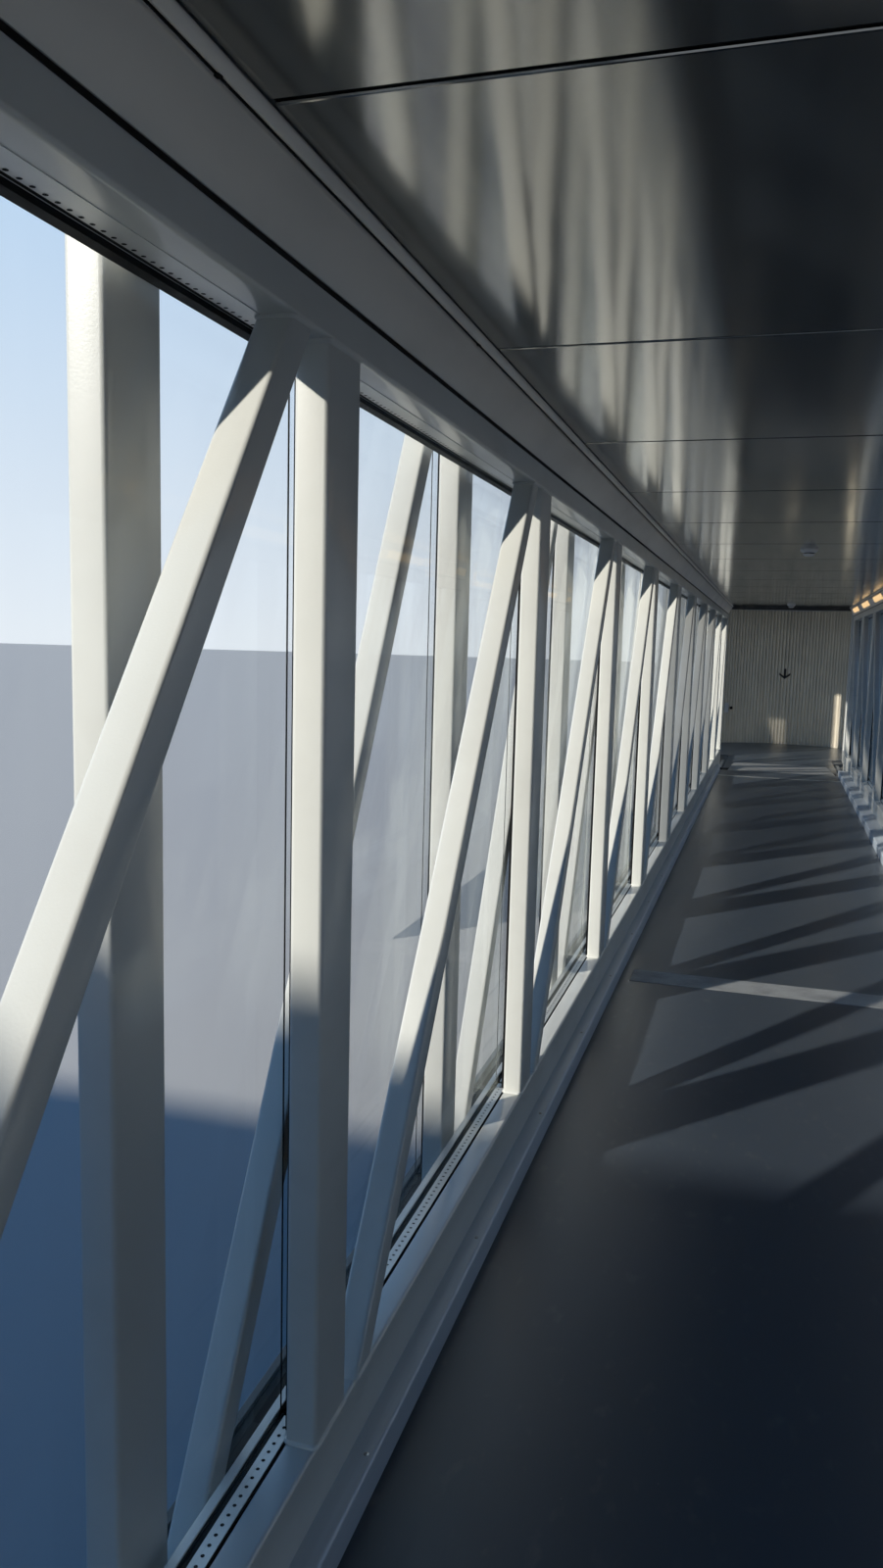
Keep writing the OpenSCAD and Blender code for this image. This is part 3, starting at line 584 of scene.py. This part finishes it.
# The perforations
hole_r = 0.0036
hole_sides = 8
hole_lift = 0.0003
hole_pitch = 0.0215
first_hole = 0.03
sill_row = 0.017
head_row = 0.024
for tunnel, spacer, cap, tape_inset in (("inner", spacer_metal, strip_paint, 0.028),
                                        ("outer", gasket_and_painted_shadow, dark_strip, 0.030)):
    for side, out in (("left", -1), ("right", 1)):
        body = f"{tunnel}_tunnel"
        low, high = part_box(f"{tunnel}_glass_{side}")
        post_low, post_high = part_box(f"{tunnel}_posts_{side}")
        sill, head = post_low.z, post_high.z
        truss_face = post_low.x if side == "left" else post_high.x

        def at(d0, y0, z0, d1, y1, z1, face=truss_face, out=out):
            """Corners of a bar between two distances outside the truss."""
            x0, x1 = sorted((face + out * d0, face + out * d1))
            return (x0, y0, z0), (x1, y1, z1)

        count = round((post_high.y - post_low.y - post_width) / bay)
        joints = [post_low.y + post_width / 2 + i * bay for i in range(1, count)]
        starts = [low.y] + [y + unit_joint / 2 for y in joints]
        stops = [y - unit_joint / 2 for y in joints] + [high.y]
        units = [(at, y0, y1, low.z, high.z, sill, head) for y0, y1 in zip(starts, stops)]
        panes = glazed(f"{tunnel}_{side}_panes", unit_block, glass, units, body)
        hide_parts(f"{tunnel}_glass_{side}")
        spacers = glazed(f"{tunnel}_{side}_spacers", unit_spacer, spacer, units, body)
        sealant = glazed(f"{tunnel}_{side}_sealant", unit_sealant, gasket_and_painted_shadow, units, body)
        holes = perforations(f"{tunnel}_{side}_spacer_holes", units, body)

        tapes = bars_of("long_tapes", [
            at(0, low.y, low.z, gasket_t, high.y, sill - spacer_h),
            at(0, low.y, head + spacer_h, gasket_t, high.y, high.z),
            at(0, low.y, sill - spacer_h, line_w, high.y, sill - line_gap),
            at(unit_out, low.y, low.z, cap_in, high.y, sill + gasket_show),
            at(unit_out, low.y, head - head_gasket, cap_out - cap_step, high.y, head)], gasket_and_painted_shadow)
        post_tape = bars_of("post_tape", [at(post_tape_in, post_low.y + tape_inset, sill, gasket_t,
                                             post_low.y + post_width - tape_inset, head)], gasket_and_painted_shadow)
        post_tapes = repeated("post_tapes", post_tape, count + 1, (0, bay, 0))
        seam = bars_of("seam", [at(unit_out, joints[0] - seam_w / 2, sill, unit_out + seam_t,
                                   joints[0] + seam_w / 2, head)], gasket_and_painted_shadow)
        seams = repeated("seams", seam, count - 1, (0, bay, 0))
        tape = joined(f"{tunnel}_{side}_gasket_tape", [tapes, post_tapes, seams], body)
        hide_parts(f"{tunnel}_glass_caps_{side}")
        caps = bars_of(f"{tunnel}_{side}_cap_strips", [
            at(cap_in, low.y, low.z, cap_out, high.y, sill + cap_show),
            at(unit_out, low.y, head, cap_out, high.y, high.z),
            at(unit_out, low.y, sill + cap_show, cap_out, low.y + cap_w, head - head_gasket),
            at(unit_out, high.y - cap_w, sill + cap_show, cap_out, high.y, head - head_gasket)],
            cap, cap_edge, body)
        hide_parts(f"{tunnel}_glass_caps_{side}")


# The kerbs are folded sheet that closes the gap between the floor and the bottom chords, wider on
# the right. Their satin paint has fine streaks along the tunnel, and small screws hold them down.
def folded_sheet(name, colour, gloss, streak):
    """Satin sheet with streaks along the tunnel."""
    material, tree, shader = new_material(name)
    lines = noise(tree, 14.0, 4.0, (6, 0.12, 6))
    cloudy = noise(tree, 2.0, 4.0)
    lighter, darker = tuple(1.35 * c for c in colour), tuple(0.75 * c for c in colour)
    base = blend_colours(tree, between(tree, lines, 0.35, 0.7, 0, streak), colour, lighter)
    tree.links.new(blend_colours(tree, between(tree, cloudy, 0.35, 0.7, 0, 0.25), base, darker),
                   shader.inputs["Base Color"])
    tree.links.new(between(tree, lines, 0.3, 0.7, gloss, gloss + 0.16), shader.inputs["Roughness"])
    add_bump(tree, shader, lines, 0.0004, 0.2)
    shader.inputs["Metallic"].default_value = 0.1
    return material


def turned(name, profile, centre, material, body=None, steps=32, smooth_below=30):
    """A closed profile of radius and height turned about a vertical axis."""
    points, faces = [], []
    for step in range(steps):
        a = 2 * pi * step / steps
        points += [(centre[0] + r * cos(a), centre[1] + r * sin(a), centre[2] + z) for r, z in profile]
    count = len(profile)
    for step in range(steps):
        here, there = step * count, (step + 1) % steps * count
        faces += [(here + i, there + i, there + (i + 1) % count, here + (i + 1) % count)
                  for i in range(count)]
    return solid_piece(name, points, faces, material, body, smooth_below)


kerb_sheet = folded_sheet("kerb sheet", (0.50, 0.56, 0.62), 0.285, 0.3)
screw_steel = dusty_paint("screw steel", (0.42, 0.42, 0.41), dust=0.3, gloss=0.285, dull=0.4, metallic=1.0)
kerb_t = 0.004
fold_r = 0.008
screw_inset = 0.018
first_screw = 0.30
last_screw = 0.10
screw_pitch = 0.830
screw_profile = [(0.0004, -0.001), (0.0055, -0.001), (0.0055, 0.0008), (0.0040, 0.0024), (0.0018, 0.0028),
                 (0.0014, 0.0018), (0.0004, 0.0018)]
for side, turn in (("left", -1), ("right", 1)):
    low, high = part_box(f"kerb_{side}")
    nose, wall = (high.x, low.x) if side == "left" else (low.x, high.x)
    inward = nose + turn * kerb_t
    outline = [(wall, high.z - kerb_t), (wall, high.z)]
    outline += arc((nose + turn * fold_r, high.z - fold_r), fold_r, 90, 180 if turn > 0 else 0)
    outline += [(nose, low.z), (inward, low.z), (inward, high.z - kerb_t)]
    kerb = swept(f"{side}_kerb", outline, (low.y, high.y), kerb_sheet, "inner_tunnel")
    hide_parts(f"kerb_{side}")
    screw = turned("screw", screw_profile, (nose + turn * screw_inset, low.y + first_screw, high.z),
                   screw_steel, None, 12)
    screw_count = int((high.y - low.y - first_screw - last_screw) / screw_pitch) + 1
    screws = repeated(f"{side}_kerb_screws", screw, screw_count, (0, screw_pitch, 0), "inner_tunnel")


# The coves are folded sheet in a matt light paint that leans from the top chords to the ceiling. The
# paint is drawn lighter still, as painted light for the light the coves catch from the floor. A
# groove with screws in it parts the plane from a flat bead, and a shadow gap parts it from the chord.
# A black strip in the gap and another in the groove are painted shadow.
def cove_frame(side):
    """The foot of a cove, the directions up its slope and into the room, and the slope's length."""
    low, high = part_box(f"cove_{side}")
    wall, lip, turn = (low.x, high.x, 1) if side == "left" else (high.x, low.x, -1)
    slope = Vector((lip - wall, ceiling_level - low.z))
    length = slope.length
    slope.normalize()
    return Vector((wall, low.z)), slope, Vector((turn * slope.y, -abs(slope.x))), length


def on_cove(side, along, out):
    """X and Z of a point on a cove, from its distance up the slope and into the room."""
    foot, slope, room, length = cove_frame(side)
    return tuple(foot + along * slope + out * room)


# The cove's own light paint is drawn lighter still: part of this colour is painted light.
cove_paint_and_painted_light = dusty_paint("cove sheet with painted light", (0.90, 0.85, 0.75), dust=0.12, gloss=0.42, dull=0.6)
ceiling_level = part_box("ceiling_panels")[0].z
gap_t = 0.002
gap_below = 0.005
gap_above = 0.003
button_place = (0.108, -0.004)
button_pitch = 1.156
button_count = 13
first_button = 2.99
for side, turn in (("left", 1), ("right", -1)):
    low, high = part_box(f"cove_{side}")
    foot, slope, room, length = cove_frame(side)
    profile = [(0.008, -0.010), (0.005, 0.0), (0.097, 0.0), (0.102, -0.004), (0.106, -0.008), (0.110, -0.008),
               (0.1105, 0.001), (0.113, 0.003), (length - 0.006, 0.003), (length - 0.003, 0.001),
               (length - 0.001, -0.003), (length - 0.001, -0.009), (0.010, -0.012)]
    cove = swept(f"{side}_cove", [on_cove(side, *point) for point in profile], (low.y, high.y), cove_paint_and_painted_light,
                 "inner_tunnel")
    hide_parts(f"cove_{side}")
    # A thin black strip in the gap between the chord and the cove is painted shadow.
    gap_x = sorted((foot.x, foot.x + turn * gap_t))
    gap_painted_shadow = bars_of(f"{side}_cove_gap", [((gap_x[0], low.y, low.z - gap_below),
                                         (gap_x[1], high.y, low.z + gap_above))], gasket_and_painted_shadow, 0, "inner_tunnel")
    # A black strip at the bottom of the groove is painted shade.
    groove_shade_profile = [(0.1072, -0.0085), (0.1072, -0.0045), (0.1103, -0.0045), (0.1103, -0.0085)]
    groove_shade_strip = swept(f"{side}_cove_groove", [on_cove(side, *point) for point in groove_shade_profile],
                   (low.y, high.y), gasket_and_painted_shadow, "inner_tunnel")
    button_x, button_z = on_cove(side, *button_place)
    button = turned("button", screw_profile, (button_x, low.y + first_button, button_z), gasket_and_painted_shadow, None, 12)
    buttons = repeated(f"{side}_cove_screws", button, button_count, (0, button_pitch, 0), "inner_tunnel")


# A warm lamp lies on the right cove in each bay. Its frosted plastic lens is extruded with rounded
# edges and clips on over the lamp.
def lamp_lens():
    """A frosted lens, lit warm from behind."""
    material, tree, shader = new_material("warm lamp lens")
    grain = noise(tree, 60.0, 2.0)
    tree.links.new(blend_colours(tree, grain, (1.0, 0.66, 0.30), (1.0, 0.78, 0.46)),
                   shader.inputs["Base Color"])
    tree.links.new(blend_colours(tree, grain, (1.0, 0.60, 0.24), (1.0, 0.70, 0.36)),
                   shader.inputs["Emission Color"])
    shader.inputs["Emission Strength"].default_value = 0.85
    shader.inputs["Roughness"].default_value = 0.35
    return material


low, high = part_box("cove_lamps")
post_low, post_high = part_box("inner_posts_right")
lamp_count = round((post_high.y - post_low.y) / bay)
lamp_length = high.y - low.y - (lamp_count - 1) * bay
half_way = cove_frame("right")[3] / 2
lens_profile = [(-0.030, 0.0), (-0.030, 0.004), (-0.026, 0.0075), (-0.016, 0.0095), (0.0, 0.010),
                (0.016, 0.0095), (0.026, 0.0075), (0.030, 0.004), (0.030, 0.0)]
lens_outline = [on_cove("right", half_way + along, out) for along, out in lens_profile]
lens = swept("lens", lens_outline, (low.y, low.y + lamp_length), lamp_lens())
lamps = repeated("right_cove_lamps", lens, lamp_count, (0, bay, 0), "inner_tunnel")
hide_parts("cove_lamps")


# The ceiling is a row of dark glossy sheet trays with a black joint between each two. The sheet is
# slightly wavy, which blurs what it mirrors into long streaks. The outer lining is the same sheet.
def ceiling_sheet():
    material, tree, shader = new_material("dark glossy ceiling sheet")
    waves = noise(tree, 2.2, 1.0, (2.2, 0.6, 1))
    sheen = noise(tree, 3.0, 2.0, (3.2, 0.25, 1))
    tree.links.new(blend_colours(tree, between(tree, sheen, 0.3, 0.7, 0, 1), (0.25, 0.25, 0.245),
                                 (0.34, 0.335, 0.31)), shader.inputs["Base Color"])
    tree.links.new(between(tree, sheen, 0.3, 0.7, 0.10, 0.16), shader.inputs["Roughness"])
    add_bump(tree, shader, waves, 0.004, 0.22)
    shader.inputs["Metallic"].default_value = 0.95
    return material


ceiling_finish = ceiling_sheet()
low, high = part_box("ceiling_panels")
panel_pitch = 1.156
panel_joint = 0.012
joint_depth = 0.006
panel_edge = 0.003
first_panel = 0.781
second = low.y + first_panel + panel_joint
count = int((high.y - second) / panel_pitch)
last = second + count * panel_pitch
tray = bars_of("tray", [((low.x, second, low.z), (high.x, second + panel_pitch - panel_joint, high.z))],
               ceiling_finish, panel_edge)
trays = repeated("like_trays", tray, count, (0, panel_pitch, 0))
end_trays = bars_of("end_trays", [((low.x, low.y, low.z), (high.x, low.y + first_panel, high.z)),
                                  ((low.x, last, low.z), high)], ceiling_finish, panel_edge)
ceiling = joined("ceiling_trays", [trays, end_trays], "inner_tunnel")
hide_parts("ceiling_panels")
joint = bars_of("joint", [((low.x, second - panel_joint, low.z + joint_depth), (high.x, second, high.z))],
                gasket_and_painted_shadow)
joints = repeated("ceiling_joints", joint, count + 1, (0, panel_pitch, 0), "inner_tunnel")
finish_cad("outer_ceiling", ceiling_finish)


# Two round smoke detectors of moulded white plastic are screwed to the middle of the ceiling. Each
# has a base, a dark slot that lets the air in, and a cap.
def white_plastic():
    material, tree, shader = new_material("white plastic")
    yellowed = noise(tree, 25.0, 3.0)
    tree.links.new(blend_colours(tree, yellowed, (0.84, 0.835, 0.80), (0.90, 0.895, 0.87)),
                   shader.inputs["Base Color"])
    shader.inputs["Roughness"].default_value = 0.42
    return material


detector_white = white_plastic()
low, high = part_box("smoke_detectors")
detector_r = (high.x - low.x) / 2
drop = high.z - low.z
detector_step = (0, high.y - low.y - 2 * detector_r, 0)
detector_place = (0, low.y + detector_r, high.z)
profile = [(0.0005, -drop), (0.020, -drop), (0.030, 0.003 - drop), (0.036, 0.009 - drop),
           (0.037, 0.015 - drop), (0.031, 0.016 - drop), (0.031, 0.021 - drop), (0.041, 0.023 - drop),
           (0.050, 0.029 - drop), (detector_r, 0.035 - drop), (detector_r, 0), (0.0005, 0)]
detector = turned("detector", profile, detector_place, detector_white)
detectors = repeated("ceiling_detectors", detector, 2, detector_step, "inner_tunnel")
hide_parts("smoke_detectors")
slot_profile = [(0.0005, 0.0155 - drop), (0.0315, 0.0155 - drop), (0.0315, 0.0215 - drop),
                (0.0005, 0.0215 - drop)]
slot_ring = turned("slot_ring", slot_profile, detector_place, gasket_and_painted_shadow)
slots = repeated("detector_slots", slot_ring, 2, detector_step, "inner_tunnel")


# Steel frames close both ends of each tunnel: the near one is the flange that a fixed corridor
# bolts to, and the inner tunnel's far one is dark. Brackets under the outer tunnel take the lift.
dark_frame = dusty_paint("dark frame paint", (0.05, 0.052, 0.055), dust=0.35, gloss=0.35, dull=0.55)
for node, material in (("inner_near_portal", truss_paint), ("inner_far_portal", dark_frame),
                       ("outer_near_portal", truss_paint), ("outer_far_portal", truss_paint),
                       ("lift_brackets", truss_paint)):
    finish_cad(node, material, edge=0.003)


# The roofs are light grey painted sheet with standing seams, folded down into a lip along the
# sides. They lie on the top chords, and the drum's on its posts.
roof_paint = dusty_paint("roof sheet", (0.56, 0.57, 0.56), dust=0.6, gloss=0.4, dull=0.65)
for node in ("inner_roof", "outer_roof", "drum_roof"):
    finish_cad(node, roof_paint, edge=0.002)


# Rollers, rails, the flap's hinge and the swivel tongue are bare steel, turned or welded and fixed
# to the trusses. Grease and dust lie on them.
bare_steel = dusty_paint("greased steel", (0.36, 0.36, 0.37), dust=0.6, gloss=0.285, dull=0.5, metallic=0.9)
for node in ("inner_rollers", "outer_rollers", "guide_rails", "flap_hinge", "swivel_tongue"):
    finish_cad(node, bare_steel, edge=0.001)


# The floor flap is a hinged aluminium plate with a fine cross tread, which lies down to the outer
# floor. It is brighter than the rubber and worn smoother in places.
def tread_plate():
    material, tree, shader = new_material("tread plate")
    place = tree.nodes.new("ShaderNodeTexCoord")
    ribs = tree.nodes.new("ShaderNodeTexWave")
    ribs.bands_direction = "Y"
    ribs.inputs["Scale"].default_value = 12
    tree.links.new(place.outputs["Object"], ribs.inputs["Vector"])
    worn = noise(tree, 6.0, 6.0)
    tree.links.new(blend_colours(tree, between(tree, worn, 0.35, 0.7, 0, 1), (0.27, 0.27, 0.265),
                                 (0.40, 0.395, 0.38)), shader.inputs["Base Color"])
    tree.links.new(between(tree, worn, 0.3, 0.7, 0.42, 0.285), shader.inputs["Roughness"])
    add_bump(tree, shader, ribs.outputs["Fac"], 0.002, 0.6)
    shader.inputs["Metallic"].default_value = 0.35
    return material


finish_cad("floor_flap", tread_plate())


# The drum is a round floor and a roof on posts, and it turns at the outer tunnel's end. Its wall is
# a curtain of upright slats that hook into each other, painted grey beige. The slats are drawn
# lighter than that paint, as painted light that makes up for the little light in the drum.
def slat_paint_with_painted_light():
    """Grey beige paint drawn lighter as painted light, streaked along the slats and soiled in places."""
    material, tree, shader = new_material("slat paint with painted light")
    streaks = noise(tree, 20.0, 5.0, (1, 1, 0.06))
    soiled = noise(tree, 1.3, 4.0)
    # Both tones are lighter than the slats' own grey beige: the difference is painted light.
    base = blend_colours(tree, between(tree, streaks, 0.35, 0.68, 0, 1), (0.66, 0.59, 0.46),
                         (0.84, 0.765, 0.61))
    tree.links.new(blend_colours(tree, between(tree, soiled, 0.4, 0.7, 0, 0.3), base, (0.42, 0.39, 0.32)),
                   shader.inputs["Base Color"])
    tree.links.new(between(tree, streaks, 0.3, 0.7, 0.34, 0.5), shader.inputs["Roughness"])
    shader.inputs["Metallic"].default_value = 0.2
    return material


def curtain_slat():
    """One slat of thin sheet, bowed outwards, with a lip on both edges, round the origin."""
    bow = [(0.0, 0.004), (0.06, 0.0), (0.12, 0.0035), (0.22, 0.008), (0.36, 0.0105), (0.50, 0.0115),
           (0.64, 0.0105), (0.78, 0.008), (0.88, 0.0035), (0.94, 0.0), (1.0, 0.004)]
    inner_face, outer_face = curtain_r - slat_depth, curtain_r - slat_depth + slat_t
    outline = [(inner_face + rise, curtain_from + share * slat_turn) for share, rise in bow]
    outline += [(outer_face + rise, curtain_from + share * slat_turn) for share, rise in reversed(bow)]
    count = len(outline)
    points = [(r * cos(a), r * sin(a), z) for z in (curtain_low.z, curtain_high.z) for r, a in outline]
    faces = [(i, (i + 1) % count, count + (i + 1) % count, count + i) for i in range(count)]
    for base in (0, count):
        faces += [(base + i, base + i + 1, base + count - 2 - i, base + count - 1 - i)
                  for i in range(count // 2 - 1)]
    return solid_piece("slat", points, faces, slat_paint_with_painted_light(), None, 60)


low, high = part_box("drum_floor")
drum_axis = Vector(((low.x + high.x) / 2, (low.y + high.y) / 2, 0))
curtain_low, curtain_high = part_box("slat_curtain")
curtain_from, curtain_to = radians(-20), radians(140)
curtain_r = 1.640
slat_w = 0.063
slat_t = 0.0035
slat_depth = 0.003
slat_count = round(curtain_r * (curtain_to - curtain_from) / slat_w)
slat_turn = (curtain_to - curtain_from) / slat_count
curtain = repeated("curtain_slats", curtain_slat(), slat_count, (0.0, 0.0, 0.0), "end_drum", drum_axis,
                   slat_turn)
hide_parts("slat_curtain")

finish_cad("drum_posts", truss_paint, edge=0.004)
finish_cad("drum_floor", rubber)


# A plain arrow that points down is painted in matt black on the slats opposite the tunnel. It
# follows the curtain's round.
def on_curtain(across, height):
    """A point on the inside of the curtain's front, just clear of the slats."""
    r = curtain_r - slat_depth - mark_gap
    return drum_axis + Vector((across, sqrt(r * r - across * across), height))


def painted_mark(name, shapes, material, body):
    """Flat outlines of X and Z laid on the curtain in narrow columns."""
    points, faces = [], []
    for corners in shapes:
        left, right = corners[0][0], corners[1][0]
        for i in range(columns + 1):
            share = i / columns
            x = left + share * (right - left)
            for k in (0, 1):
                z = corners[3 * k][1] + share * (corners[1 + k][1] - corners[3 * k][1])
                points.append(on_curtain(x, z))
        base = len(points) - 2 * (columns + 1)
        faces += [(base + 2 * i, base + 2 * i + 2, base + 2 * i + 3, base + 2 * i + 1)
                  for i in range(columns)]
    return solid_piece(name, points, faces, material, body)


columns = 10
mark_gap = 0.0012
arrow_x = 0.03
tip_z = floor_z + 1.12
shaft_from, shaft_to = tip_z + 0.03, tip_z + 0.20
shaft_w = 0.040
head_w = 0.105
head_h = 0.075
stroke = 0.046
arrow_paint = dusty_paint("black marking paint", (0.006, 0.006, 0.007), dust=0.05, gloss=0.5, dull=0.7)
shaft = [(arrow_x - shaft_w / 2, shaft_from), (arrow_x + shaft_w / 2, shaft_from),
         (arrow_x + shaft_w / 2, shaft_to), (arrow_x - shaft_w / 2, shaft_to)]
left_barb = [(arrow_x - head_w, tip_z + head_h), (arrow_x, tip_z), (arrow_x, tip_z + stroke),
             (arrow_x - head_w, tip_z + head_h + stroke)]
right_barb = [(arrow_x, tip_z), (arrow_x + head_w, tip_z + head_h),
              (arrow_x + head_w, tip_z + head_h + stroke), (arrow_x, tip_z + stroke)]
arrow = painted_mark("curtain_arrow", [shaft, left_barb, right_barb], arrow_paint, "end_drum")


# A lock plate of moulded white plastic sits on the slats at the left, below hand height. A turned
# black knob beside it moves the bolt.
def on_slats(name, piece, turn, height):
    """Turns a piece drawn round the origin, with X inwards, onto the curtain."""
    inside = Vector((cos(turn), sin(turn), 0))
    place = drum_axis + (curtain_r - slat_depth) * inside + Vector((0, 0, height))
    piece.data.transform(Matrix.Translation(place) @ Matrix.Rotation(turn + pi, 4, "Z"))
    piece.name = name
    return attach(piece, "end_drum")


lock_turn = radians(129.0)
lock_z = floor_z + 0.53
knob_gap = 0.083
plate_t = 0.012
plate_w = 0.090
plate_h = 0.190
plate_edge = 0.003
flat_plate = bars_of("plate", [((0, -plate_w / 2, -plate_h / 2), (plate_t, plate_w / 2, plate_h / 2))],
                     detector_white, plate_edge)
plate = on_slats("curtain_lock_plate", flat_plate, lock_turn, lock_z)
knob_profile = [(0.0005, 0), (0.012, 0), (0.011, 0.020), (0.024, 0.026), (0.030, 0.034), (0.030, 0.044),
                (0.022, 0.052), (0.0005, 0.054)]
knob = turned("knob", knob_profile, (0, 0, 0), gasket_and_painted_shadow, None, 24, 40)
knob.data.transform(Matrix.Rotation(pi / 2, 4, "Y"))
knob = on_slats("curtain_lock_knob", knob, lock_turn - knob_gap / curtain_r, lock_z)


# The object stands on a plain floor, grey where it is seen or mirrored. It throws only a little blue
# light back up at the object.
floor_half = 150
floor_material, floor_tree, floor_shader = new_material("studio floor")
floor_rays = floor_tree.nodes.new("ShaderNodeLightPath")
floor_tree.links.new(blend_colours(floor_tree, floor_rays.outputs["Is Diffuse Ray"], (0.50, 0.50, 0.49),
                                   (0.034, 0.060, 0.105)), floor_shader.inputs["Base Color"])
floor_shader.inputs["Roughness"].default_value = 0.9
floor_corners = [(-floor_half, -floor_half, 0), (floor_half, -floor_half, 0), (floor_half, floor_half, 0),
                 (-floor_half, floor_half, 0)]
studio_floor = solid_piece("studio_floor", floor_corners, [(0, 1, 2, 3)], floor_material)
studio_floor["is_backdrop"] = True


# Flags outside the view shade the tunnel's near end and the drum from the sun, and dim it
# along the middle of the tunnel. A window in one leaves a sunlit patch on the curtain.
def shading_flag(name, points, faces, density=1.0):
    """A flat board that only casts a shadow. Its Y is from the near end and its Z from the floor."""
    board_material, _, board_shader = new_material(name)
    board_shader.inputs["Alpha"].default_value = density
    board = solid_piece(name, [(x, near_y + y, floor_z + z) for x, y, z in points], faces, board_material)
    board.visible_camera = board.visible_diffuse = board.visible_glossy = board.visible_transmission = False
    board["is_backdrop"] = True


def side_board(y0, y1):
    """Corners of an upright board beside the tunnel."""
    return [(board_x, y0, board_foot), (board_x, y1, board_foot), (board_x, y1, board_top),
            (board_x, y0, board_top)]


board_x = -2.4
board_foot = -0.2
board_top = 5.3
near_edge = [(-9, board_foot), (-9, 3.5), (-4.1, 3.5), (-3.4, 3.1), (-1.4, 2.3), (-1.4, board_foot)]
shading_flag("near_flag", [(x, -0.5, z) for x, z in near_edge], [tuple(range(6))])
shading_flag("middle_flag", side_board(8.15, 13.6), [(0, 1, 2, 3)], 0.65)
window = [(board_x, y, z) for y, z in ((21.54, 1.72), (21.77, 1.56), (21.96, 1.94), (21.56, 2.20))]
shading_flag("drum_flag", side_board(20.13, 22.93) + window,
             [(0, 1, 5, 4), (1, 2, 6, 5), (2, 3, 7, 6), (3, 0, 4, 7)])
shading_flag("window_flag", window, [(0, 1, 2, 3)], 0.8)


# The sky is pale where it is seen or mirrored, and a weaker blue where it lights the object. A low
# sun with a slightly soft edge stands behind on the left.
world = bpy.data.worlds.new("studio")
world.use_nodes = True
bpy.context.scene.world = world
sky = world.node_tree
direction = sky.nodes.new("ShaderNodeSeparateXYZ")
sky.links.new(sky.nodes.new("ShaderNodeTexCoord").outputs["Generated"], direction.inputs["Vector"])
seen_sky = sky.nodes["Background"]
sky.links.new(blend_colours(sky, between(sky, direction.outputs["Z"], 0.0, 0.55, 0, 1), (0.80, 0.87, 0.94),
                            (0.34, 0.58, 0.88)), seen_sky.inputs["Color"])
light_sky = sky.nodes.new("ShaderNodeBackground")
sky.links.new(blend_colours(sky, between(sky, direction.outputs["Z"], 0.0, 0.7, 0, 1), (0.24, 0.53, 1.0),
                            (0.11, 0.40, 1.0)), light_sky.inputs["Color"])
sky.links.new(between(sky, direction.outputs["X"], -0.6, 0.9, 0.40, 0.15), light_sky.inputs["Strength"])
rays = sky.nodes.new("ShaderNodeLightPath")
seen_or_mirrored = calculated(sky, "MAXIMUM", rays.outputs["Is Camera Ray"], rays.outputs["Is Glossy Ray"])
straight = calculated(sky, "MAXIMUM", seen_or_mirrored, rays.outputs["Is Transmission Ray"])
choice = sky.nodes.new("ShaderNodeMixShader")
sky.links.new(straight, choice.inputs["Fac"])
sky.links.new(light_sky.outputs["Background"], choice.inputs[1])
sky.links.new(seen_sky.outputs["Background"], choice.inputs[2])
sky.links.new(choice.outputs["Shader"], sky.nodes["World Output"].inputs["Surface"])

sunlight = Vector((0.573, 0.699, -0.429))
sun = bpy.data.objects.new("soft_sun", bpy.data.lights.new("soft_sun", "SUN"))
sun.data.energy = 4.6
sun.data.angle = radians(1.2)
sun.data.color = (1.0, 0.96, 0.88)
sun.rotation_euler = (-sunlight).to_track_quat("Z", "Y").to_euler()
bpy.context.scene.collection.objects.link(sun)

low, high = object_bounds()
